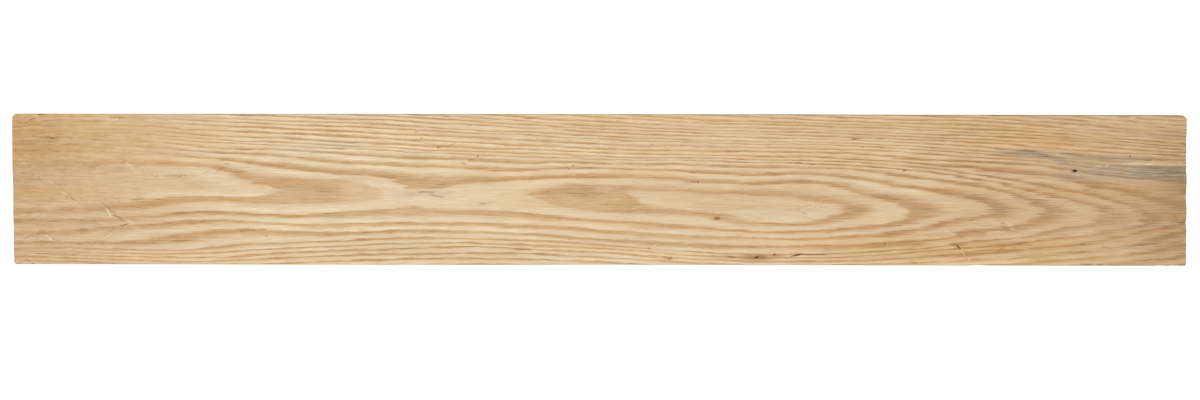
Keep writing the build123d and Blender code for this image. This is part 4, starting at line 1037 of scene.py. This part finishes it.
def ring_inside(x, y, z):
    """Ring value anywhere in the board, from the same radius on the show face."""
    u, v = to_pixels(x, y)
    pl = np.array(PITH_LINE, float)
    vc = np.interp(u, pl[:, 0], pl[:, 1])
    yc = to_board(u, vc)[1]
    r = np.hypot(y - yc, PITH - (THICK - z))
    reach = np.sqrt(np.clip(r * r - PITH * PITH, 0, None))
    ye = yc + np.sign(y - yc) * reach
    uu, vv = to_pixels(x, ye)
    core = np.clip(PITH - r, 0, None) / 3.8
    wob = 0.25 * wave(u / 40.0, z / 6.0 + y / 9.0, 34)
    shift = 6.0 * wave(u / 60.0, y / 1.4 + z / 1.1, 35)
    return field(np.clip(uu + shift, 8, 1194), np.clip(vv, 110, 268)) - core + wob * 0.3


face_ids = np.arange(n_face)
hole_ids = np.arange(hole_first, side_first)
side_ids = np.arange(side_first, back_first)
back_ids = np.arange(back_first, nv)

top_ids = np.concatenate([face_ids, hole_ids])
u, v = to_pixels(V[top_ids, 0], V[top_ids, 1])
ring[top_ids] = ring_at(u, v)
rest = np.concatenate([side_ids, back_ids])
ring[rest] = ring_inside(V[rest, 0], V[rest, 1], V[rest, 2])
# the arris takes the show face's rings
upper = side_ids[V[side_ids, 2] > 21.2]
uu, vv = to_pixels(V[upper, 0], V[upper, 1])
ring[upper] = ring_at(uu, vv)

allu, allv = to_pixels(V[:, 0], V[:, 1])
crisp[:] = band_contrast(allu, allv)
crisp[rest] = np.clip(crisp[rest], 0.45, 0.8)
crisp[upper] = band_contrast(allu[upper], allv[upper])
tone[:] = tones(allu, allv)
flow[:] = -(allv - drift(allu, allv)) * PX / 1000.0
g = (field(np.clip(allu, 8, 1194), np.clip(allv + 0.7, 110, 268)) - field(np.clip(allu, 8, 1194), np.clip(allv - 0.7, 110, 268))) / (1.4 * PX)
pack[:] = np.clip(np.abs(g), 0.02, 0.17)
top_and_rim = np.concatenate([top_ids, upper])
w, f, s, depth = wear_and_painted_light(allu[top_and_rim], allv[top_and_rim])
for k in KINDS:
    shape[k][top_and_rim], force[k][top_and_rim] = w[k], f[k]
for k in soil:
    soil[k][top_and_rim] = s[k]
patch[top_and_rim], patch_level[top_and_rim] = patches(allu[top_and_rim], allv[top_and_rim])
# the stain soaks a little way down the right end
for ids in (top_and_rim, side_ids[(V[side_ids, 0] > 590) & (V[side_ids, 2] <= 21.2)]):
    fade = np.clip(1 - (THICK - V[ids, 2]) / 15.0, 0, 1)
    a, b, c, d = stain(allu[ids], allv[ids])
    iron[ids], iron_force[ids], streak[ids], streak_force[ids] = a, b * fade, c, d * fade

# the nail hole: painted shade down its walls, darker with depth, and the rust round its mouth, stronger on the left
# side as painted shade
for k, deep in hole_depth.items():
    hole_shade_and_rust[k] = 1.0 if deep > 2 else 0.60 if deep > 1 else 0.46 if deep > 0.5 else (0.36 if deep > 0.2 else (0.32 if deep > 0 else 0.16))
hu, hv = to_pixels(np.array([NAIL[0]]), np.array([NAIL[1]]))
halo = np.hypot((allu - hu[0]) / 5.6, (allv - hv[0]) / 2.9)
near_hole = (halo < 1.4) & (V[:, 2] > 21.9)
hole_shade_and_rust[near_hole] = np.maximum(hole_shade_and_rust[near_hole], (0.34 * (1 - step(halo, 0.55, 1.3)) * (0.75 + 0.25 * np.sign(hu[0] - allu)))[near_hole])

# edges: the arrises darker, most on the upper long one towards the right
upper_edge = np.interp(allu, [12, 100, 260, 450, 640, 760, 860, 1190], [0.16, 0.42, 0.50, 0.72, 0.76, 0.86, 1.0, 1.0])
lower_edge = np.interp(allu, [12, 700, 850, 1060, 1120, 1190], [0.22, 0.24, 0.28, 0.34, 0.52, 0.50])
edge_darkness_along = np.where(allv < 190, upper_edge, lower_edge)
edge_darkness_along = np.where((allu < 14) | (allu > 1184), np.where(allv < 120, edge_darkness_along, 0.16), edge_darkness_along)
arris_darkness = {1: 0.75, 2: 0.95, 3: 1.0}
edge[[top_id(i, j) for i, j in rim_nodes]] = 0.35
for li, (inset, z) in enumerate(loop_levels[1:], 1):
    edge[loops[li]] = arris_darkness.get(li, 1.0)
edge *= edge_darkness_along
edge[side_ids] = np.where(V[side_ids, 2] < 21, 0.30, edge[side_ids])
edge[back_ids] = 0.0

# ---------------------------------------------------------------------------
# relief of the show face, only downwards
# ---------------------------------------------------------------------------
phase = ring - np.floor(ring)
dist = np.minimum(phase, 1 - phase)
bandness = step(dist, 0.05, 0.32)
sink = np.zeros(nv)
inner = np.zeros(nv)
inner[top_ids] = 1
# keep the rim of the face and the hole's loops in place
grid_rim = np.zeros(fx.shape, bool)
grid_rim[0, :] = grid_rim[-1, :] = grid_rim[:, 0] = grid_rim[:, -1] = True
inner[np.where(grid_rim.ravel())[0]] = 0
inner[hole_ids] = 0
sink[top_and_rim] += depth
sink += 0.10 * (1 - bandness) * (0.6 + 0.4 * crisp)
sink += 0.07 + 0.05 * wave(allu / 60.0, allv / 11.0, 51) + 0.03 * wave(allu / 14.0, allv / 1.4, 52)
sink = np.clip(sink, 0, 1.2) * inner
V[:, 2] -= sink

# ---------------------------------------------------------------------------
# Blender mesh
# ---------------------------------------------------------------------------
# the grid points inside the nail hole's block belong to no face and are left out
flat = np.array([k for face in faces for k in face])
used = np.unique(flat)
renumber = np.full(len(V), -1)
renumber[used] = np.arange(len(used))
flat = iter(renumber[flat].tolist())
faces = [tuple(next(flat) for _ in face) for face in faces]
mesh = bpy.data.meshes.new("board_surface")
mesh.from_pydata((V[used] / 1000.0).tolist(), [], faces)
mesh.update()
values = {"ring": ring, "pack": pack, "crisp": crisp, "tone": tone, "flow": flow, "edge": edge,
          "patch": patch, "patch_level": patch_level, "iron": iron, "iron_force": iron_force,
          "streak": streak, "streak_force": streak_force, "soil": soil["brown"], "dust": soil["grey"], "hole_shade_and_rust": hole_shade_and_rust}
for k in KINDS:
    values[k], values[k + "_force"] = shape[k], force[k]
for name, row in values.items():
    a = mesh.attributes.new(name, "FLOAT", "POINT")
    a.data.foreach_set("value", row[used].astype(np.float32))

# a map with the show face as one wide strip, the back and the edges under it
loop_vertex = np.zeros(len(mesh.loops), np.int32)
mesh.loops.foreach_get("vertex_index", loop_vertex)
sizes = np.array([len(f) for f in faces])
loop_kind = np.repeat(np.array(kinds), sizes)
P = V[used][loop_vertex]
sx = (P[:, 0] + 600.5) / 1201.0
uv = np.zeros((len(P), 2))
strips = {0: (0.400, 0.990), 6: (0.400, 0.990), 5: (0.215, 0.385), 1: (0.150, 0.200), 2: (0.085, 0.135)}
for kind, (v0, v1) in strips.items():
    m = loop_kind == kind
    if kind in (0, 5, 6):
        t = (P[m, 1] + 77.6) / 155.2
    else:
        t = P[m, 2] / 22.0
    uv[m, 0] = 0.006 + 0.988 * sx[m]
    uv[m, 1] = v0 + (v1 - v0) * t
for kind, u0 in ((3, 0.006), (4, 0.506)):
    m = loop_kind == kind
    uv[m, 0] = u0 + 0.488 * (P[m, 1] + 77.6) / 155.2
    uv[m, 1] = 0.012 + 0.055 * P[m, 2] / 22.0
layer = mesh.uv_layers.new(name="OFBake")
layer.data.foreach_set("uv", uv.astype(np.float32).ravel())

mesh.polygons.foreach_set("use_smooth", np.ones(len(mesh.polygons), bool))
board = bpy.data.objects.new("board_surface", mesh)
bpy.context.scene.collection.objects.link(board)
mesh.update()

# ---------------------------------------------------------------------------
# material
# ---------------------------------------------------------------------------
def lin(r, g, b):
    out = []
    for c in (r, g, b):
        c = c / 255.0
        out.append(c / 12.92 if c <= 0.04045 else ((c + 0.055) / 1.055) ** 2.4)
    return (out[0], out[1], out[2], 1.0)


class Tree:
    def __init__(self, tree):
        self.t = tree
        self.n = 0

    def node(self, kind, **props):
        node = self.t.nodes.new(kind)
        node.location = ((self.n % 12) * 190, -(self.n // 12) * 240)
        self.n += 1
        for k, value in props.items():
            setattr(node, k, value)
        return node

    def put(self, socket, value):
        if isinstance(value, bpy.types.NodeSocket):
            self.t.links.new(value, socket)
        else:
            socket.default_value = value

    def math(self, op, a, b=None, c=None, clamp=False):
        node = self.node("ShaderNodeMath", operation=op, use_clamp=clamp)
        for k, value in enumerate((a, b, c)):
            if value is not None:
                self.put(node.inputs[k], value)
        return node.outputs[0]

    def attr(self, name):
        return self.node("ShaderNodeAttribute", attribute_name=name, attribute_type="GEOMETRY").outputs["Fac"]

    def noise(self, where, scale, move, detail=2.0, rough=0.5):
        m = self.node("ShaderNodeVectorMath", operation="MULTIPLY_ADD")
        self.put(m.inputs[0], where)
        m.inputs[1].default_value = scale
        m.inputs[2].default_value = move
        node = self.node("ShaderNodeTexNoise")
        self.put(node.inputs["Vector"], m.outputs[0])
        node.inputs["Scale"].default_value = 1.0
        node.inputs["Detail"].default_value = detail
        node.inputs["Roughness"].default_value = rough
        return node.outputs["Fac"]

    def ramp(self, fac, stops, mode="LINEAR"):
        node = self.node("ShaderNodeValToRGB")
        node.color_ramp.interpolation = mode
        elements = node.color_ramp.elements
        while len(elements) < len(stops):
            elements.new(0.5)
        for e, (at, colour) in zip(elements, stops):
            e.position = at
            e.color = colour if hasattr(colour, "__len__") else (colour, colour, colour, 1.0)
        self.put(node.inputs[0], fac)
        return node.outputs[0]

    def span(self, value, low, high, out_low=0.0, out_high=1.0, smooth=True):
        node = self.node("ShaderNodeMapRange", interpolation_type="SMOOTHSTEP" if smooth else "LINEAR")
        self.put(node.inputs["Value"], value)
        node.inputs["From Min"].default_value = low
        node.inputs["From Max"].default_value = high
        node.inputs["To Min"].default_value = out_low
        node.inputs["To Max"].default_value = out_high
        return node.outputs[0]

    def mix(self, fac, a, b, blend="MIX"):
        node = self.node("ShaderNodeMix", data_type="RGBA", blend_type=blend)
        self.put(node.inputs[0], fac)
        self.put(node.inputs[6], a)
        self.put(node.inputs[7], b)
        return node.outputs[2]


material = bpy.data.materials.new("ash_wood")
material.use_nodes = True
material.node_tree.nodes.clear()
T = Tree(material.node_tree)
out = T.node("ShaderNodeOutputMaterial")
shader = T.node("ShaderNodeBsdfPrincipled")
T.t.links.new(shader.outputs[0], out.inputs[0])
where = T.node("ShaderNodeTexCoord").outputs["Object"]
parts = T.node("ShaderNodeSeparateXYZ")
T.put(parts.inputs[0], where)
along = parts.outputs[0]


def wood_tone(r, g, b):
    """A colour as it looks under this light, turned back into the wood's own."""
    c = lin(r, g, b)
    return (c[0] / 1.27, c[1] / 1.27, c[2] / 1.27, 1.0)


def centred(value, amount):
    return T.math("MULTIPLY", T.math("SUBTRACT", value, 0.5), amount)


def total(*values):
    out = values[0]
    for value in values[1:]:
        out = T.math("ADD", out, value)
    return out


def times(*values):
    out = values[0]
    for value in values[1:]:
        out = T.math("MULTIPLY", out, value)
    return out


# the grain's own coordinates: along the board, across it following the fibres, up
grain = T.node("ShaderNodeCombineXYZ")
T.put(grain.inputs[0], along)
T.put(grain.inputs[1], T.attr("flow"))
T.put(grain.inputs[2], parts.outputs[2])
grain = grain.outputs[0]

a_ring, a_pack, a_crisp, a_tone, a_edge = (T.attr(k) for k in ("ring", "pack", "crisp", "tone", "edge"))

# the rings' borders wander with the fibres, in torn steps along the grain
wander = total(centred(T.noise(grain, (22.0, 260.0, 260.0), (3.1, 1.7, 0.4), 2.0, 0.5), 4.2),
               centred(T.noise(grain, (70.0, 620.0, 620.0), (7.3, 2.9, 5.4), 3.0, 0.6), 3.2))
ringed = total(a_ring, times(wander, a_pack), 0.5)
phase_n = T.math("FRACT", ringed)
number = T.math("FLOOR", ringed)
bands = T.ramp(phase_n, [(0.0, 0.93), (0.10, 1.0), (0.28, 0.93), (0.345, 0.60), (0.40, 0.12), (0.47, 0.0), (0.57, 0.06),
                         (0.67, 0.26), (0.77, 0.55), (0.88, 0.82), (1.0, 0.93)])
# no two rings are alike, nor one ring all along
ring_at_x = T.node("ShaderNodeCombineXYZ")
T.put(ring_at_x.inputs[0], along)
T.put(ring_at_x.inputs[1], number)
ring_at_x = ring_at_x.outputs[0]
vigour = T.span(T.noise(ring_at_x, (9.0, 0.83, 1.0), (0.4, 0.2, 0.0), 1.0, 0.5), 0.32, 0.66, 0.84, 1.22)
ring_tone = centred(T.noise(ring_at_x, (7.0, 0.61, 1.0), (5.4, 9.2, 3.0), 1.0, 0.5), 0.34)

# fibres, streaks and pores along the grain
fibre = T.math("SUBTRACT", T.noise(grain, (30.0, 640.0, 640.0), (9.0, 2.0, 5.0), 4.0, 0.62), 0.5)
hair = T.math("SUBTRACT", T.noise(grain, (52.0, 1100.0, 1100.0), (4.0, 6.0, 1.0), 2.0, 0.6), 0.5)
streaks = T.math("SUBTRACT", T.noise(grain, (6.0, 130.0, 130.0), (1.0, 7.0, 3.0), 2.0, 0.55), 0.5)
cloud = T.math("SUBTRACT", T.noise(grain, (10.0, 34.0, 34.0), (4.0, 4.0, 4.0), 2.0, 0.5), 0.5)
mottle = T.math("SUBTRACT", T.noise(grain, (120.0, 260.0, 260.0), (8.0, 3.0, 6.0), 3.0, 0.6), 0.5)
pores = T.span(T.noise(grain, (110.0, 2200.0, 2200.0), (2.0, 8.0, 1.0), 1.0, 0.4), 0.60, 0.74)
dashes = T.span(T.noise(grain, (48.0, 600.0, 600.0), (6.0, 1.0, 2.0), 1.0, 0.5), 0.62, 0.72)
glints = T.span(T.noise(grain, (40.0, 480.0, 480.0), (1.5, 4.0, 9.0), 1.0, 0.5), 0.63, 0.74)

banded = total(times(T.math("SUBTRACT", bands, 0.5), a_crisp, vigour), 0.5)
banded = total(banded, times(ring_tone, a_crisp))
cover = T.span(total(T.attr("patch"), times(wander, 0.035)), 0.38, 0.62)
banded = total(times(banded, T.math("SUBTRACT", 1.0, cover)), times(T.attr("patch_level"), cover))
porous = T.math("SUBTRACT", 1.1, banded)
handled = T.span(along, -0.52, -0.40, 1.0, 0.0)
level = total(banded, a_tone, times(fibre, 1.35), times(hair, 0.7), times(streaks, 0.45), times(cloud, 0.28),
              times(mottle, T.math("ADD", times(handled, 0.55), 0.12)), times(glints, 0.16))
level = T.math("SUBTRACT", level, times(dashes, porous, 0.42))
level = T.math("SUBTRACT", level, times(pores, porous, 0.18))
# the ramps run from -0.5 to 1.5
level = T.span(level, -0.5, 1.5, 0.0, 1.0, smooth=False)
wood = T.ramp(level, [
    (0.00, wood_tone(172, 130, 82)), (0.125, wood_tone(188, 147, 99)), (0.25, wood_tone(200, 162, 115)),
    (0.50, wood_tone(217, 186, 145)), (0.75, wood_tone(230, 204, 167)), (0.875, wood_tone(238, 215, 180)),
    (1.00, wood_tone(246, 228, 198))])
golden = T.ramp(level, [
    (0.00, wood_tone(176, 130, 74)), (0.25, wood_tone(203, 160, 104)), (0.50, wood_tone(219, 183, 133)),
    (0.75, wood_tone(232, 203, 156)), (1.00, wood_tone(246, 226, 186))])
greyed = T.ramp(level, [
    (0.00, wood_tone(150, 120, 88)), (0.25, wood_tone(186, 157, 122)), (0.50, wood_tone(206, 180, 148)),
    (0.75, wood_tone(220, 197, 168)), (1.00, wood_tone(236, 219, 194))])
tint_n = T.noise(grain, (5.0, 70.0, 70.0), (2.0, 5.0, 8.0), 2.0, 0.5)
colour = T.mix(T.span(tint_n, 0.46, 0.62, 0.05, 0.62), wood, golden)
colour = T.mix(T.math("MULTIPLY", total(T.span(tint_n, 0.50, 0.34, 0.0, 0.26), T.span(along, 0.42, 0.58, 0.0, 0.34)), T.span(along, 0.10, 0.55, 0.35, 1.0)), colour, greyed)

# soft smudges, then the iron stain: grey-brown in the fibres, with crisp dark streaks
patchy = total(0.8, times(fibre, 2.2), times(mottle, 0.8))
colour = T.mix(T.math("MULTIPLY", T.attr("soil"), patchy, clamp=True), colour, wood_tone(164, 116, 58))
colour = T.mix(T.math("MULTIPLY", T.attr("dust"), patchy, clamp=True), colour, wood_tone(166, 146, 122))
torn = times(fibre, 0.9)
iron_m = T.span(total(T.attr("iron"), torn, times(hair, 0.4)), 0.24, 0.80)
iron_c = T.ramp(total(times(fibre, 3.0), times(hair, 1.6), times(streaks, 0.6), 0.5), [
    (0.0, wood_tone(122, 107, 89)), (0.5, wood_tone(154, 139, 119)), (1.0, wood_tone(186, 170, 147))])
colour = T.mix(times(iron_m, T.attr("iron_force")), colour, iron_c)
streak_m = T.span(total(T.attr("streak"), times(torn, 0.7)), 0.38, 0.62)
colour = T.mix(times(streak_m, T.attr("streak_force"), 0.92), colour, wood_tone(116, 98, 78))


def mark(kind, ragged, low, high):
    """How much of a mark shows, with edges torn by the fibres, and its force."""
    rough = total(times(fibre, ragged), times(mottle, ragged))
    return T.span(total(T.attr(kind), rough), low, high), T.attr(kind + "_force")


m, f = mark("grey", 0.5, 0.36, 0.64)
colour = T.mix(times(m, f), colour, wood_tone(150, 132, 108))
m, f = mark("brown", 0.6, 0.38, 0.64)
colour = T.mix(times(m, T.math("ADD", times(f, 0.85), 0.03)), colour, wood_tone(146, 97, 46))
# pale marks: lighter wood, and on the gouges and the dent painted highlights
m, f = mark("pale", 0.6, 0.40, 0.62)
colour = T.mix(times(m, f, 0.95), colour, wood_tone(245, 226, 190))
# dark marks: dark specks and lines, and on the gouges and along the end check painted shade
m, dark_f = mark("dark", 0.5, 0.38, 0.60)
dark_m = times(m, total(times(dark_f, 0.75), 0.22))
dark_c = T.ramp(dark_f, [(0.2, wood_tone(158, 108, 54)), (0.55, wood_tone(118, 77, 38)), (0.85, wood_tone(72, 46, 25)),
                         (1.0, wood_tone(46, 30, 20))])
colour = T.mix(dark_m, colour, dark_c)
# the nail hole's colour: painted shade down the hole, and the rust round its mouth
hole_shade_and_rust_m = T.span(total(T.attr("hole_shade_and_rust"), times(fibre, 0.5)), 0.16, 0.66, smooth=False)
colour = T.mix(hole_shade_and_rust_m, colour, T.ramp(hole_shade_and_rust_m, [(0.0, wood_tone(142, 112, 82)), (0.5, wood_tone(88, 66, 46)), (1.0, wood_tone(120, 92, 66))]))
# darker edges
edge_noise = T.math("ADD", 0.92, total(times(cloud, 1.2), times(fibre, 1.2)), clamp=True)
edge_f = T.math("MULTIPLY", a_edge, edge_noise)
colour = T.mix(edge_f, colour, wood_tone(128, 98, 62))
T.put(shader.inputs["Base Color"], colour)

rough = total(0.62, times(fibre, -0.35), times(T.math("SUBTRACT", 1.0, bands), 0.10), times(a_edge, 0.08))
rough = T.math("ADD", rough, times(dark_m, 0.15), clamp=True)
T.put(shader.inputs["Roughness"], rough)
shader.inputs["Specular IOR Level"].default_value = 0.32

height = total(times(fibre, 0.5), times(bands, 0.25), times(pores, -0.55), times(dashes, -0.4), times(dark_m, -0.5))
bump = T.node("ShaderNodeBump")
bump.inputs["Strength"].default_value = 0.45
bump.inputs["Distance"].default_value = 0.00016
T.put(bump.inputs["Height"], height)
T.put(shader.inputs["Normal"], bump.outputs[0])
mesh.materials.append(material)

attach(board, "root")
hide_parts("ash_board")

# ---------------------------------------------------------------------------
# floor, light, camera
# ---------------------------------------------------------------------------
floor_mesh = bpy.data.meshes.new("pale_floor")
F = 6.0
floor_mesh.from_pydata([(-F, -F, 0), (F, -F, 0), (F, F, 0), (-F, F, 0)], [], [(0, 1, 2, 3)])
floor = bpy.data.objects.new("pale_floor", floor_mesh)
floor.location.z = -0.0002
bpy.context.scene.collection.objects.link(floor)
pale = bpy.data.materials.new("pale_paint")
pale.use_nodes = True
FT = Tree(pale.node_tree)
principled = pale.node_tree.nodes["Principled BSDF"]
fcoord = FT.node("ShaderNodeTexCoord").outputs["Object"]
fn = FT.noise(fcoord, (6.0, 6.0, 6.0), (0.0, 0.0, 0.0), 2.0, 0.5)
FT.put(principled.inputs["Base Color"], FT.ramp(fn, [(0.0, lin(100, 100, 100)), (1.0, lin(104, 104, 104))]))
principled.inputs["Roughness"].default_value = 0.9
# lit from below as well, as on a light table, so that hardly any shadow shows
principled.inputs["Emission Color"].default_value = (1.0, 1.0, 1.0, 1.0)
principled.inputs["Emission Strength"].default_value = 0.95
principled.inputs["Specular IOR Level"].default_value = 0.1
floor_mesh.materials.append(pale)
floor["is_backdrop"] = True

# light: an even white surround and one broad lamp high up
world = bpy.data.worlds.new("soft_studio")
world.use_nodes = True
world.node_tree.nodes["Background"].inputs[0].default_value = (1.0, 1.0, 1.0, 1.0)
world.node_tree.nodes["Background"].inputs[1].default_value = 0.85
bpy.context.scene.world = world
lamp_data = bpy.data.lights.new("high_lamp", "SUN")
lamp_data.energy = 1.30
lamp_data.angle = math.radians(40)
lamp = bpy.data.objects.new("high_lamp", lamp_data)
lamp.rotation_euler = Vector((0.12, 0.22, 1.0)).to_track_quat("Z", "Y").to_euler()
bpy.context.scene.collection.objects.link(lamp)

bpy.context.scene.view_settings.view_transform = "Standard"
bpy.context.scene.view_settings.look = "None"
bpy.context.scene.view_settings.exposure = 0.0
bpy.context.scene.view_settings.gamma = 1.0

# the camera looks straight down, from far enough for no perspective to show
camera_data = bpy.data.cameras.new("camera")
camera = bpy.data.objects.new("camera", camera_data)
DISTANCE = 6.0
camera_data.sensor_width = 36.0
camera_data.lens = 36.0 * DISTANCE / 1.22554
camera_data.clip_end = 50.0
aim_x, aim_y = 0.0006, -0.0107
camera.location = (aim_x, aim_y, THICK / 1000.0 + DISTANCE)
camera.rotation_euler = (0.0, 0.0, TURN)
bpy.context.scene.collection.objects.link(camera)
bpy.context.scene.camera = camera

bpy.context.view_layer.update()
low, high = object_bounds()
